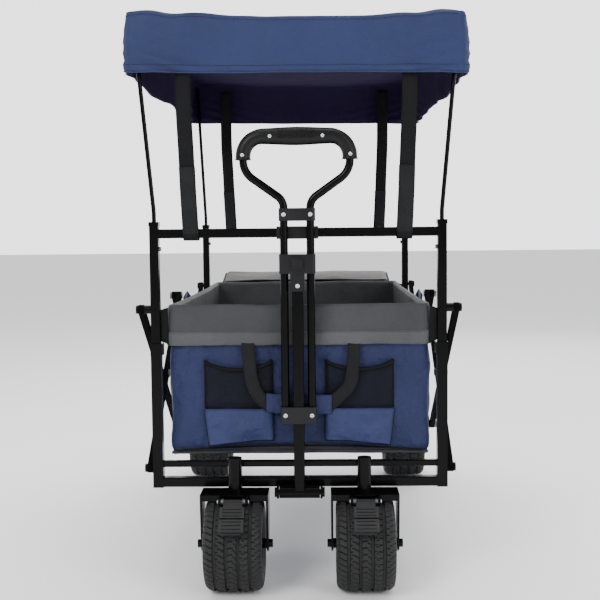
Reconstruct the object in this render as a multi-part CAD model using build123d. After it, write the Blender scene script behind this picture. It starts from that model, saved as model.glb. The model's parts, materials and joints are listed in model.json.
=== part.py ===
from build123d import *
import os
from math import atan2, cos, degrees, radians, sin, sqrt

# Folding camp wagon, millimetres. X right, Y from the handle end (front) to the rear, Z up, ground at Z 0.
# FRAME_Y places the front posts so that the whole object is centred on the origin.

# ---- driving dimensions -------------------------------------------------------------------------
FRAME_LENGTH = 830.0          # front post axis to rear post axis, open
POST_SPAN = 530.0             # left post axis to right post axis
WHEEL_R = 85.0
WHEEL_WIDTH = 106.0
FORK_TOP_CLEAR = 7.0          # tyre to the underside of the fork plate
FORK_PLATE_T = 3.0
BASE_Z = 2 * WHEEL_R + FORK_TOP_CLEAR + FORK_PLATE_T     # top of the forks, foot of the frame

NODE_LOW_Z = BASE_Z + 36.0    # lower scissor pivots
NODE_RISE = 298.0             # lower to upper scissor pivots, open
NODE_HIGH_Z = NODE_LOW_Z + NODE_RISE
POST_HEIGHT = 488.0
POST_TOP_Z = BASE_Z + POST_HEIGHT
SLEEVE_TOP_Z = NODE_HIGH_Z - 74.0        # top of the outer lower posts
OUTER_POST = 19.0             # square outer tube
INNER_POST = 16.6             # square inner tube
TUBE_WALL = 1.2
TELESCOPE_CLEAR = 0.2         # per side between inner tube and outer tube's bore
INNER_POST_FOOT_Z = BASE_Z + 25.0
CAP_HEIGHT = 8.0
CAP_LIP = 2.0                 # cap wider than its tube
COLLAR_WIDTH = 25.0
COLLAR_HEIGHT = 22.0

HIGH_BAR = 17.0               # square bar between the upper posts
HIGH_BAR_Z = POST_TOP_Z - 14.0
LOW_BAR = 18.0
LOW_BAR_Z = BASE_Z + 10.0
FLOOR_RAIL = 12.0
FLOOR_RAIL_Z = BASE_Z + 44.0
BAR_ROUND = 2.5               # corner radius of the square bars

LEG_THICK = 10.0              # flat side bar of the scissor legs, across X
LEG_WIDE = 18.0
LEG_GAP = 1.0                 # between post, inner leg layer and outer leg layer
PIN_R = 4.0
PIN_HEAD_R = 8.0
PIN_HEAD_T = 4.0
PIN_CLEAR = 0.05
OPEN_PIVOT_CLEAR = 0.4

HUB_R = 50.0
HUB_WIDTH = 84.0
HUB_DISH = 14.0
HUB_RIM = 6.0
HUB_BOSS = 9.0                # wall of the boss round the axle
TYRE_SHOULDER = 12.0
GROOVE_DEPTH = 3.5
GROOVE_WIDTH = 5.0
AXLE_R = 5.0
AXLE_CLEAR = 0.05
REAR_WHEEL_X = POST_SPAN / 2 - 7.0

CASTOR_X = POST_SPAN * 0.2245
CASTOR_AHEAD = 32.0           # stem axis ahead of the front posts
CASTOR_TRAIL = 12.0
FORK_PLATE_DEPTH = 56.0
FORK_SIDE_CLEAR = 5.0
FORK_SIDE_T = 4.0
FORK_SKIRT = 11.0
FORK_CHEEK = 16.0             # depth of the fork's side before it tapers
FORK_TOE = 13.0               # half width of the fork's side at the axle
STEM_R = 9.95
STEM_SHORT = 6.0              # stem end below the socket's top
SOCKET_BORE_R = 10.0
SOCKET_R = 12.8
SOCKET_BASE_GAP = 4.0
SOCKET_HEIGHT = 58.0
PEDAL_LENGTH = 72.0
PEDAL_WIDTH = 34.0
PEDAL_T = 5.0
PEDAL_SLOPE = 36.0
PEDAL_HINGE_GAP = 13.0        # hinge ahead of the fork's skirt
PEDAL_HINGE_DROP = 8.0        # hinge below the fork plate's top
PEDAL_PIN_R = 4.2
PAD_WIDTH = 44.0
PAD_INSET = 1.0
INNER_PAD = 24.0
OUTER_PAD = 26.0
PAD_GAP = 3.0
LUG_T = 3.0
NUT_R = 8.0
NUT_T = 7.0

HANDLE_AHEAD = 36.0           # handle plane ahead of the front posts
HANDLE_PIVOT_Z = BASE_Z - 2.0
PIVOT_TUBE_R = 11.0
PIVOT_TUBE_LENGTH = 74.0
PIVOT_PIN_R = 5.0
EAR_T = 4.0
EAR_R = 12.0
CENTRE_TUBE = 20.0
CENTRE_TUBE_ROUND = 4.0
SIDE_TUBE_R = 7.3
SIDE_TUBE_X = 24.0
HANDLE_SLIDE_CLEAR = 0.3
LOW_BRACKET_Z = BASE_Z + 127.0
LOW_BRACKET_HEIGHT = 30.0
BRACKET_WIDTH = 66.0
LOCK_Z = LOW_BRACKET_Z + 273.0
LOCK_HEIGHT = 35.0
CLEVIS_DROP = 32.0
CLEVIS_HALF = 13.0
CENTRE_TUBE_TOP_Z = LOCK_Z + 32.0
TOP_BRACKET_Z = LOCK_Z + 95.0
TOP_BRACKET_HEIGHT = 23.0
SHOULDER_Z = TOP_BRACKET_Z + TOP_BRACKET_HEIGHT + 14.0
GRIP_RISE = 51.0              # shoulder to the grip ends' bend
GRIP_END_Z = SHOULDER_Z + GRIP_RISE + 22.0
GRIP_Z = GRIP_END_Z + 42.0
GRIP_X = 96.0
GRIP_R = 14.0
GRIP_CORNER = 36.0
CLIP_WIDTH = 76.0
CLIP_WALL = 3.0

BASKET_WIDTH = POST_SPAN - 44.0
BASKET_BOTTOM_Z = FLOOR_RAIL_Z + 16.0
RIM_Z = NODE_HIGH_Z + 8.0
BAND_BOTTOM_Z = RIM_Z - 75.0
BASKET_OVERHANG = 9.0         # basket beyond the post axes at both ends
CLOTH_WALL = 3.0
BAND_WALL = 6.0
MAT_T = 8.0
MAT_CLEAR = 1.0

CANOPY_FRONT_HALF = POST_SPAN / 2 + 46.0
CANOPY_REAR_HALF = POST_SPAN / 2 + 25.0
CANOPY_OVERHANG = 14.0
CANOPY_TOP_Z = POST_TOP_Z + 380.0
CANOPY_DROP = 108.0
CANOPY_HEM_Z = CANOPY_TOP_Z - CANOPY_DROP
POLE_R = 4.0
POLE_SEAT = 20.0              # pole inside the post
FRONT_POLE_LEAN = 31.0
REAR_POLE_LEAN = 17.0
POLE_TOP_Z = CANOPY_TOP_Z - 12.0
STRAP_WIDTH = 28.0
STRAP_T = 2.0
STRAP_X = POST_SPAN / 2 - 69.0

POCKET_INNER_X = 48.0
POCKET_OUTER_X = BASKET_WIDTH / 2 - 71.0
POCKET_BOTTOM_Z = BASKET_BOTTOM_Z + 26.0
POCKET_TOP_Z = BAND_BOTTOM_Z - 22.0
POCKET_DEPTH = 8.0
POCKET_WALL = 1.5
CARRY_TOP_X = 96.0
CARRY_LOW_X = 68.0
WRAP_HALF = 62.0
WRAP_RISE = 18.0
WRAP_Z = LOW_BRACKET_Z + 33.0
WRAP_T = 3.6

BAG_HALF = POST_SPAN / 2 - 43.0
BAG_DEPTH = 95.0
BAG_BOTTOM_Z = BASKET_BOTTOM_Z + 60.0
BAG_FRONT_Z = RIM_Z - 1.0
BAG_TOP_Z = BAG_FRONT_Z + 23.0
BAG_GAP = 12.0
LID_BEAD_R = 2.5              # round seam that the lid turns on

SNAP_Z = POST_TOP_Z - 42.0
SNAP_R = 4.0
SNAP_OUT = 4.0

# ---- worked out from them -----------------------------------------------------------------------
HALF_SPAN = POST_SPAN / 2
HALF_LENGTH = FRAME_LENGTH / 2
BORE = INNER_POST + 2 * TELESCOPE_CLEAR
FORK_FRONT = CASTOR_AHEAD + CASTOR_TRAIL / 2 + FORK_PLATE_DEPTH / 2
PAD_REACH = (PEDAL_LENGTH - PAD_INSET) * cos(radians(PEDAL_SLOPE))
PEDAL_FORWARD = PAD_REACH + PEDAL_T * 3 / 2 * sin(radians(PEDAL_SLOPE))
PEDAL_HINGE_Y_AHEAD = FORK_FRONT + PEDAL_HINGE_GAP
FRONT_REACH = PEDAL_HINGE_Y_AHEAD + PEDAL_FORWARD
REAR_REACH = max(BAG_GAP + BAG_DEPTH, WHEEL_R)
# the object's box runs from the brake pedals to the rear bag, centred on the origin
FRAME_Y = -(FRAME_LENGTH + REAR_REACH - FRONT_REACH) / 2
REAR_Y = FRAME_Y + FRAME_LENGTH
MID_Y = FRAME_Y + HALF_LENGTH
LAYER_1 = HALF_SPAN + OUTER_POST / 2 + LEG_GAP + LEG_THICK / 2
LAYER_2 = LAYER_1 + LEG_THICK + LEG_GAP
HANDLE_Y = FRAME_Y - HANDLE_AHEAD
CASTOR_Y = FRAME_Y - CASTOR_AHEAD
STEM_TOP_Z = BASE_Z + SOCKET_BASE_GAP + SOCKET_HEIGHT - STEM_SHORT
NODE_MID_Z = (NODE_LOW_Z + NODE_HIGH_Z) / 2
LID_SLOPE = atan2(BAG_TOP_Z - BAG_FRONT_Z, BAG_DEPTH)
LID_HINGE_Z = BAG_FRONT_Z + LID_BEAD_R / cos(LID_SLOPE)

os.makedirs("parts", exist_ok=True)


def save(name, *shapes):
    solids = []
    for shape in shapes:
        solids += list(shape.solids())
    made = solids[0] if len(solids) == 1 else Compound(children=solids)
    export_step(made, f"parts/{name}.step")


def box(x0, x1, y0, y1, z0, z1):
    size = Box(abs(x1 - x0), abs(y1 - y0), abs(z1 - z0))
    return Pos((x0 + x1) / 2, (y0 + y1) / 2, (z0 + z1) / 2) * size


def post(x, y, z0, z1, width):
    return box(x - width / 2, x + width / 2, y - width / 2, y + width / 2, z0, z1)


def hollow_post(x, y, z0, z1, width, bore):
    return post(x, y, z0, z1, width) - post(x, y, z0 - 1, z1 + 1, bore)


def cyl_x(x0, x1, y, z, r):
    rod = Cylinder(r, abs(x1 - x0))
    return Pos((x0 + x1) / 2, y, z) * Rot(0, 90, 0) * rod


def cyl_y(x, y0, y1, z, r):
    return Pos(x, (y0 + y1) / 2, z) * Rot(90, 0, 0) * Cylinder(r, abs(y1 - y0))


def cyl_z(x, y, z0, z1, r):
    return Pos(x, y, (z0 + z1) / 2) * Cylinder(r, z1 - z0)


def both(make):
    return [make(side) for side in (-1, 1)]


def rod_along(points, radii, r):
    path = FilletPolyline(*points, radius=radii) if radii else Line(*points)
    start = Plane(origin=path @ 0, z_dir=path % 0)
    return sweep(start * Circle(r), path=path)


# ---- frame --------------------------------------------------------------------------------------
def lower_posts(y):
    return both(lambda s: hollow_post(s * HALF_SPAN, y, BASE_Z, SLEEVE_TOP_Z, OUTER_POST, BORE))


def collars(y):
    def one(s):
        top = SLEEVE_TOP_Z + COLLAR_HEIGHT / 2
        ring = post(s * HALF_SPAN, y, top - COLLAR_HEIGHT, top, COLLAR_WIDTH)
        ring = ring - post(s * HALF_SPAN, y, top - COLLAR_HEIGHT - 1, SLEEVE_TOP_Z, OUTER_POST)
        ring = ring - post(s * HALF_SPAN, y, SLEEVE_TOP_Z - 1, top + 1, BORE)
        outer = s * (HALF_SPAN + COLLAR_WIDTH / 2)
        face = s * (HALF_SPAN + OUTER_POST / 2)
        wide = COLLAR_WIDTH
        return ring - box(face, outer + s, y - wide, y + wide, top - 2 * COLLAR_HEIGHT, top + 1)
    return both(one)


def upper_posts(y):
    def one(s):
        bore = INNER_POST - 2 * TUBE_WALL
        tube = hollow_post(s * HALF_SPAN, y, INNER_POST_FOOT_Z, POST_TOP_Z, INNER_POST, bore)
        inner = s * (HALF_SPAN - INNER_POST / 2)
        hole = cyl_x(inner - s * 2, inner + s * (TUBE_WALL + 1), y, SNAP_Z, SNAP_R)
        return tube - hole
    return both(one)


def post_caps(y):
    def one(s):
        cap = post(s * HALF_SPAN, y, POST_TOP_Z, POST_TOP_Z + CAP_HEIGHT, INNER_POST + CAP_LIP)
        return cap - cyl_z(s * HALF_SPAN, y, POST_TOP_Z - 1, POST_TOP_Z + CAP_HEIGHT + 1, POLE_R)
    return both(one)


def bar_solid(y, z, size, end):
    bar = box(-end, end, y - size / 2, y + size / 2, z - size / 2, z + size / 2)
    return fillet(bar.edges().filter_by(Axis.X), BAR_ROUND)


def bar_tube(y, z, size, end):
    bore = size - 2 * TUBE_WALL
    inside = box(-end - 1, end + 1, y - bore / 2, y + bore / 2, z - bore / 2, z + bore / 2)
    return bar_solid(y, z, size, end) - inside


def high_bar(y):
    return bar_tube(y, HIGH_BAR_Z, HIGH_BAR, HALF_SPAN - INNER_POST / 2)


def low_bar(y):
    return bar_tube(y, LOW_BAR_Z, LOW_BAR, HALF_SPAN - OUTER_POST / 2)


def floor_rail(y):
    return bar_tube(y, FLOOR_RAIL_Z, FLOOR_RAIL, HALF_SPAN - OUTER_POST / 2)


def high_bar_space(y):
    return bar_solid(y, HIGH_BAR_Z, HIGH_BAR, HALF_SPAN)


def canopy_poles(y, lean):
    def one(s):
        x = s * HALF_SPAN
        points = [(x, y, POST_TOP_Z - POLE_SEAT), (x, y, POST_TOP_Z + 26), (x + s * lean, y, POLE_TOP_Z)]
        return rod_along(points, 60, POLE_R)
    return both(one)


def snap_button(s, y):
    inner = HALF_SPAN - INNER_POST / 2
    return cyl_x(s * (inner - SNAP_OUT), s * (inner + TUBE_WALL + 3), y, SNAP_Z, SNAP_R - 0.1)


def make_frame():
    for end, y, lean in (("front", FRAME_Y, FRONT_POLE_LEAN), ("rear", REAR_Y, REAR_POLE_LEAN)):
        save(f"{end}_lower_posts", *lower_posts(y), *collars(y))
        save(f"{end}_upper_posts", *upper_posts(y), *post_caps(y))
        save(f"{end}_high_crossbar", high_bar(y))
        save(f"{end}_low_crossbars", low_bar(y), floor_rail(y))
        save(f"{end}_canopy_poles", *canopy_poles(y, lean))
        for side, s in (("left", -1), ("right", 1)):
            save(f"snap_button_{end}_{side}", snap_button(s, y))


# ---- scissor legs -------------------------------------------------------------------------------
def leg(x, y0, z0, y1, z1, holes):
    length = sqrt((y1 - y0) ** 2 + (z1 - z0) ** 2)
    slope = degrees(atan2(z1 - z0, y1 - y0))
    bar = Box(LEG_THICK, length, LEG_WIDE)
    ends = Pos(0, length / 2, 0) * Rot(0, 90, 0) * Cylinder(LEG_WIDE / 2, LEG_THICK)
    ends = ends + Pos(0, -length / 2, 0) * Rot(0, 90, 0) * Cylinder(LEG_WIDE / 2, LEG_THICK)
    made = Pos(x, (y0 + y1) / 2, (z0 + z1) / 2) * Rot(slope, 0, 0) * (bar + ends)
    for y, z, r in holes:
        made = made - cyl_x(x - LEG_THICK, x + LEG_THICK, y, z, r)
    return made


def leg_pair(layer, y0, z0, y1, z1, holes):
    return both(lambda s: leg(s * layer, y0, z0, y1, z1, holes))


def pin(x0, x1, y, z, s):
    shank = cyl_x(s * x0, s * x1, y, z, PIN_R)
    head = cyl_x(s * x1, s * (x1 + PIN_HEAD_T), y, z, PIN_HEAD_R)
    return shank + head


def post_pins(y, z, layer):
    start = HALF_SPAN + (OUTER_POST / 2 if z < SLEEVE_TOP_Z else INNER_POST / 2)
    stop = layer + LEG_THICK / 2 + LEG_GAP / 2

    def one(s):
        made = pin(start, stop, y, z, s)
        if layer > LAYER_1:
            spacer_end = LAYER_1 + LEG_THICK / 2 + LEG_GAP / 2
            made = made + cyl_x(s * start, s * spacer_end, y, z, PIN_HEAD_R)
        return made
    return both(one)


def rivets(y, z):
    def one(s):
        x0 = LAYER_1 - LEG_THICK / 2
        x1 = LAYER_2 + LEG_THICK / 2 + LEG_GAP / 2
        inner_head = cyl_x(s * (x0 - 2), s * x0, y, z, PIN_HEAD_R)
        return pin(x0, x1, y, z, s) + inner_head
    return both(one)


def make_legs():
    quarter = HALF_LENGTH / 2
    tight = PIN_R
    loose = PIN_R + PIN_CLEAR
    slack = PIN_R + OPEN_PIVOT_CLEAR
    front = (FRAME_Y, FRAME_Y + quarter, MID_Y)
    rear = (MID_Y, MID_Y + quarter, REAR_Y)
    up = (NODE_LOW_Z, NODE_MID_Z, NODE_HIGH_Z)
    down = (NODE_HIGH_Z, NODE_MID_Z, NODE_LOW_Z)
    plan = {"a": (LAYER_1, front, up, (loose, tight, tight)),
            "b": (LAYER_2, front, down, (loose, loose, tight)),
            "c": (LAYER_1, rear, up, (loose, tight, loose)),
            "d": (LAYER_2, rear, down, (slack, loose, loose))}
    for name, (layer, ys, zs, radii) in plan.items():
        holes = list(zip(ys, zs, radii))
        save(f"scissor_legs_{name}", *leg_pair(layer, ys[0], zs[0], ys[2], zs[2], holes))
    save("front_rivets", *rivets(FRAME_Y + quarter, NODE_MID_Z), *rivets(MID_Y, NODE_HIGH_Z))
    save("mid_bottom_rivets", *rivets(MID_Y, NODE_LOW_Z))
    save("rear_cross_rivets", *rivets(MID_Y + quarter, NODE_MID_Z))
    save("front_foot_pins", *post_pins(FRAME_Y, NODE_LOW_Z, LAYER_1))
    save("front_knob_pins", *post_pins(FRAME_Y, NODE_HIGH_Z, LAYER_2))
    save("rear_foot_pins", *post_pins(REAR_Y, NODE_LOW_Z, LAYER_2))
    save("rear_knob_pins", *post_pins(REAR_Y, NODE_HIGH_Z, LAYER_1))


# ---- wheels and castors -------------------------------------------------------------------------
def tyre(x, y):
    body = Rot(0, 90, 0) * Cylinder(WHEEL_R, WHEEL_WIDTH)
    shoulders = body.edges().filter_by(GeomType.CIRCLE)
    body = fillet(shoulders, TYRE_SHOULDER)
    for i in (-1.5, -0.5, 0.5, 1.5):
        ring = Cylinder(WHEEL_R + 1, GROOVE_WIDTH) - Cylinder(WHEEL_R - GROOVE_DEPTH, GROOVE_WIDTH)
        body = body - Pos(i * WHEEL_WIDTH / 5, 0, 0) * Rot(0, 90, 0) * ring
    body = body - Rot(0, 90, 0) * Cylinder(HUB_R, WHEEL_WIDTH + 2)
    return Pos(x, y, WHEEL_R) * body


def hub(x, y):
    body = Rot(0, 90, 0) * Cylinder(HUB_R, HUB_WIDTH)
    recess = Cylinder(HUB_R - HUB_RIM, HUB_DISH) - Cylinder(AXLE_R + HUB_BOSS, HUB_DISH)
    for s in (-1, 1):
        body = body - Pos(s * (HUB_WIDTH - HUB_DISH) / 2, 0, 0) * Rot(0, 90, 0) * recess
    body = body - Rot(0, 90, 0) * Cylinder(AXLE_R + AXLE_CLEAR, HUB_WIDTH + 2)
    return Pos(x, y, WHEEL_R) * body


def fork(x, y, trail, stem):
    """Folded steel fork: stem axis at (x, y), axle trail in front of it."""
    wy = y - trail
    half = WHEEL_WIDTH / 2 + FORK_SIDE_CLEAR + FORK_SIDE_T
    front = wy - FORK_PLATE_DEPTH / 2 + trail / 2
    back = front + FORK_PLATE_DEPTH
    top = BASE_Z
    body = box(x - half, x + half, front, back, top - FORK_PLATE_T, top)
    body = body + box(x - half, x + half, front, front + FORK_PLATE_T, top - FORK_SKIRT, top)
    for s in (-1, 1):
        face = Plane(origin=(x + s * half, wy, 0), x_dir=(0, 1, 0), z_dir=(1, 0, 0))
        cheek = top - FORK_CHEEK
        outline = Polyline((front - wy, top), (back - wy, top), (back - wy, cheek), (FORK_TOE, WHEEL_R - 8),
                           (0, WHEEL_R - 15), (-FORK_TOE, WHEEL_R - 8), (front - wy, cheek), close=True)
        arm = extrude(face * make_face(outline), amount=-s * FORK_SIDE_T)
        arm = arm - cyl_x(x + s * (half - 2 * FORK_SIDE_T), x + s * (half + FORK_SIDE_T), wy, WHEEL_R, AXLE_R)
        body = body + arm
    if stem:
        body = body + hinge_lugs(x, front)
        body = body + cyl_z(x, y, top, top + SOCKET_BASE_GAP - 0.3, SOCKET_R + 3)
        body = body + cyl_z(x, y, top, STEM_TOP_Z, STEM_R)
    return body


def axle(x, y):
    half = WHEEL_WIDTH / 2 + FORK_SIDE_CLEAR + FORK_SIDE_T
    rod = cyl_x(x - half, x + half, y, WHEEL_R, AXLE_R)
    for s in (-1, 1):
        hexagon = extrude(RegularPolygon(NUT_R, 6), amount=NUT_T)
        rod = rod + Pos(x + s * half, y, WHEEL_R) * Rot(0, s * 90, 0) * hexagon
        sleeve = cyl_x(x + s * (HUB_WIDTH / 2 + 0.3), x + s * (half - FORK_SIDE_T), y, WHEEL_R, AXLE_R + 4)
        rod = rod + sleeve
    return rod


def hinge_lugs(x, front):
    """Two lugs on the fork's skirt that hold the brake pedal's pin."""
    hinge_y = front - PEDAL_HINGE_GAP
    hinge_z = BASE_Z - PEDAL_HINGE_DROP
    near = PAD_WIDTH / 2 + 1
    made = None
    for s in (-1, 1):
        x0 = x + s * near
        x1 = x0 + s * LUG_T
        arm = box(x0, x1, hinge_y, front + FORK_PLATE_T, hinge_z, BASE_Z)
        arm = arm + cyl_x(x0, x1, hinge_y, hinge_z, PEDAL_HINGE_DROP - 1)
        arm = arm - cyl_x(x0 - s, x1 + s, hinge_y, hinge_z, PEDAL_PIN_R + PIN_CLEAR)
        made = arm if made is None else made + arm
    return made


def pedal(x):
    """Brake pedal hinged ahead of the skirt, with two pads on its lever."""
    hinge_y = FRAME_Y - PEDAL_HINGE_Y_AHEAD
    hinge_z = BASE_Z - PEDAL_HINGE_DROP
    lever = Pos(0, -PEDAL_LENGTH / 2, 0) * Box(PEDAL_WIDTH, PEDAL_LENGTH, PEDAL_T)
    outer_at = PEDAL_LENGTH - PAD_INSET - OUTER_PAD / 2
    inner_at = outer_at - OUTER_PAD / 2 - PAD_GAP - INNER_PAD / 2
    lever = lever + Pos(0, -outer_at, PEDAL_T) * Box(PAD_WIDTH, OUTER_PAD, PEDAL_T)
    lever = lever + Pos(0, -inner_at, PEDAL_T) * Box(PAD_WIDTH, INNER_PAD, PEDAL_T)
    made = Pos(x, hinge_y, hinge_z) * Rot(PEDAL_SLOPE, 0, 0) * lever
    half = PAD_WIDTH / 2 + 1 + LUG_T + 1
    return made + cyl_x(x - half, x + half, hinge_y, hinge_z, PEDAL_PIN_R)


def socket(x, y):
    z0 = BASE_Z + SOCKET_BASE_GAP
    z1 = z0 + SOCKET_HEIGHT
    body = cyl_z(x, y, z0, z1, SOCKET_R)
    bored = body - cyl_z(x, y, z0 - 1, STEM_TOP_Z + 0.5, SOCKET_BORE_R)
    back = FRAME_Y - LOW_BAR / 2
    web = box(x - 8, x + 8, y + SOCKET_R - 1, back, LOW_BAR_Z - 3, LOW_BAR_Z + 7)
    return bored + web


def make_wheels():
    for side, s in (("left", -1), ("right", 1)):
        x = s * CASTOR_X
        wy = CASTOR_Y - CASTOR_TRAIL
        save(f"castor_fork_{side}", fork(x, CASTOR_Y, CASTOR_TRAIL, True), axle(x, wy))
        save(f"castor_hub_{side}", hub(x, wy))
        save(f"castor_tyre_{side}", tyre(x, wy))
        save(f"brake_pedal_{side}", pedal(x))
        save(f"rear_hub_{side}", hub(s * REAR_WHEEL_X, REAR_Y))
        save(f"rear_tyre_{side}", tyre(s * REAR_WHEEL_X, REAR_Y))
    save("castor_sockets", *both(lambda s: socket(s * CASTOR_X, CASTOR_Y)))
    rear_axles = both(lambda s: axle(s * REAR_WHEEL_X, REAR_Y))
    save("rear_forks", *both(lambda s: fork(s * REAR_WHEEL_X, REAR_Y, 0, False)), *rear_axles)


# ---- pull handle --------------------------------------------------------------------------------
def ears():
    def one(s):
        x0 = s * (PIVOT_TUBE_LENGTH / 2 + 1)
        x1 = x0 + s * EAR_T
        plate = box(x0, x1, HANDLE_Y, FRAME_Y - LOW_BAR / 2, HANDLE_PIVOT_Z - 9, HANDLE_PIVOT_Z + EAR_R)
        nose = cyl_x(x0, x1, HANDLE_Y, HANDLE_PIVOT_Z, EAR_R)
        return plate + nose - cyl_x(x0 - s, x1 + s, HANDLE_Y, HANDLE_PIVOT_Z, PIVOT_PIN_R)
    return both(one)


def pivot_pin():
    end = PIVOT_TUBE_LENGTH / 2 + 1 + EAR_T
    rod = cyl_x(-end, end, HANDLE_Y, HANDLE_PIVOT_Z, PIVOT_PIN_R)
    for s in (-1, 1):
        rod = rod + cyl_x(s * end, s * (end + 4), HANDLE_Y, HANDLE_PIVOT_Z, PIVOT_PIN_R + 4)
    return rod


def pivot_tube():
    half = PIVOT_TUBE_LENGTH / 2
    tube = cyl_x(-half, half, HANDLE_Y, HANDLE_PIVOT_Z, PIVOT_TUBE_R)
    return tube - cyl_x(-half - 1, half + 1, HANDLE_Y, HANDLE_PIVOT_Z, PIVOT_PIN_R + PIN_CLEAR)


def centre_tube():
    bar = post(0, HANDLE_Y, HANDLE_PIVOT_Z, CENTRE_TUBE_TOP_Z, CENTRE_TUBE)
    bar = fillet(bar.edges().filter_by(Axis.Z), CENTRE_TUBE_ROUND)
    bore = post(0, HANDLE_Y, HANDLE_PIVOT_Z - 1, CENTRE_TUBE_TOP_Z + 1, CENTRE_TUBE - 2 * TUBE_WALL)
    joined = cyl_x(-CENTRE_TUBE, CENTRE_TUBE, HANDLE_Y, HANDLE_PIVOT_Z, PIVOT_TUBE_R)
    return bar - bore - joined


def centre_hole(z0, z1, clear):
    bar = post(0, HANDLE_Y, z0 - 1, z1 + 1, CENTRE_TUBE + 2 * clear)
    return fillet(bar.edges().filter_by(Axis.Z), CENTRE_TUBE_ROUND)


def block(z0, height, depth):
    half = BRACKET_WIDTH / 2
    made = box(-half, half, HANDLE_Y - depth / 2, HANDLE_Y + depth / 2, z0, z0 + height)
    return fillet(made.edges().filter_by(Axis.Z), 6)


def tube_holes(z0, z1, clear):
    return both(lambda s: cyl_z(s * SIDE_TUBE_X, HANDLE_Y, z0 - 1, z1 + 1, SIDE_TUBE_R + clear))


def low_bracket():
    made = block(LOW_BRACKET_Z, LOW_BRACKET_HEIGHT, 26)
    made = made - centre_hole(LOW_BRACKET_Z, LOW_BRACKET_Z + LOW_BRACKET_HEIGHT, HANDLE_SLIDE_CLEAR)
    for hole in tube_holes(LOW_BRACKET_Z, LOW_BRACKET_Z + LOW_BRACKET_HEIGHT, 0):
        made = made - hole
    return made


def lock_housing():
    made = block(LOCK_Z, LOCK_HEIGHT, 30)
    made = made - post(0, HANDLE_Y, LOCK_Z - 1, CENTRE_TUBE_TOP_Z, CENTRE_TUBE)
    for hole in tube_holes(LOCK_Z, LOCK_Z + LOCK_HEIGHT, HANDLE_SLIDE_CLEAR):
        made = made - hole
    window = box(-11, 11, HANDLE_Y - 16, HANDLE_Y - CENTRE_TUBE / 2 - 0.2, LOCK_Z + 7, LOCK_Z + 29)
    half = CLEVIS_HALF
    clevis = box(-half, half, HANDLE_Y - half, HANDLE_Y + half, LOCK_Z - CLEVIS_DROP, LOCK_Z)
    clevis = clevis - post(0, HANDLE_Y, LOCK_Z - CLEVIS_DROP - 1, LOCK_Z + 1, CENTRE_TUBE)
    return (made - window) + clevis


def latch_button():
    return box(-10.7, 10.7, HANDLE_Y - 19, HANDLE_Y - CENTRE_TUBE / 2 - 4.3, LOCK_Z + 7.3, LOCK_Z + 28.7)


def side_tubes():
    def one(s):
        points = [(s * SIDE_TUBE_X, HANDLE_Y, LOW_BRACKET_Z - 2), (s * SIDE_TUBE_X, HANDLE_Y, SHOULDER_Z),
                  (s * GRIP_X, HANDLE_Y, SHOULDER_Z + GRIP_RISE), (s * GRIP_X, HANDLE_Y, GRIP_END_Z)]
        return rod_along(points, [26, 40], SIDE_TUBE_R)
    return both(one)


def top_bracket():
    made = block(TOP_BRACKET_Z, TOP_BRACKET_HEIGHT, 22)
    for hole in tube_holes(TOP_BRACKET_Z, TOP_BRACKET_Z + TOP_BRACKET_HEIGHT, 0):
        made = made - hole
    return made


def grip():
    points = [(-GRIP_X, HANDLE_Y, GRIP_END_Z), (-GRIP_X, HANDLE_Y, GRIP_Z), (GRIP_X, HANDLE_Y, GRIP_Z),
              (GRIP_X, HANDLE_Y, GRIP_END_Z)]
    return rod_along(points, GRIP_CORNER, GRIP_R)


def handle_clip():
    half = CLIP_WIDTH / 2
    front = HANDLE_Y + GRIP_R + 0.5
    reach = HIGH_BAR / 2 + CLIP_WALL
    made = box(-half, half, front, FRAME_Y + reach, HIGH_BAR_Z - reach, HIGH_BAR_Z + reach)
    return made - high_bar_space(FRAME_Y)


def make_handle():
    save("handle_ears", *ears(), pivot_pin())
    save("handle_pivot_tube", pivot_tube())
    save("handle_centre_tube", centre_tube())
    save("handle_low_bracket", low_bracket())
    save("handle_lock_housing", lock_housing())
    save("handle_latch_button", latch_button())
    save("handle_side_tubes", *side_tubes())
    save("handle_top_bracket", top_bracket())
    save("handle_grip", grip())
    save("handle_clip", handle_clip())


# ---- soft parts ---------------------------------------------------------------------------------
def shell_box(half, y0, y1, z0, z1, wall, floor):
    outer = box(-half, half, y0, y1, z0, z1)
    bottom = z0 + floor if floor else z0 - 1
    return outer - box(-half + wall, half - wall, y0 + wall, y1 - wall, bottom, z1 + 1)


def canopy():
    y0 = FRAME_Y - CANOPY_OVERHANG
    y1 = REAR_Y + CANOPY_OVERHANG
    wall = CLOTH_WALL

    def plan(inset, z0, z1):
        outline = Polyline((-CANOPY_FRONT_HALF + inset, y0 + inset), (CANOPY_FRONT_HALF - inset, y0 + inset),
                           (CANOPY_REAR_HALF - inset, y1 - inset), (-CANOPY_REAR_HALF + inset, y1 - inset),
                           close=True)
        return Pos(0, 0, z0) * extrude(make_face(outline), amount=z1 - z0)
    return plan(0, CANOPY_HEM_Z, CANOPY_TOP_Z) - plan(wall, CANOPY_HEM_Z - 1, CANOPY_TOP_Z - wall)


def canopy_straps(y):
    """Straps from the canopy down to a loop round the high crossbar."""
    def one(s):
        x = s * STRAP_X
        ring_half = HIGH_BAR / 2 + STRAP_T
        ring = box(x - STRAP_WIDTH / 2, x + STRAP_WIDTH / 2, y - ring_half, y + ring_half,
                   HIGH_BAR_Z - ring_half, HIGH_BAR_Z + ring_half)
        ring = ring - high_bar_space(y)
        z0 = HIGH_BAR_Z + ring_half
        top = CANOPY_TOP_Z - CLOTH_WALL
        return ring + box(x - STRAP_WIDTH / 2, x + STRAP_WIDTH / 2, y - STRAP_T / 2, y + STRAP_T / 2, z0, top)
    return both(one)


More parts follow.
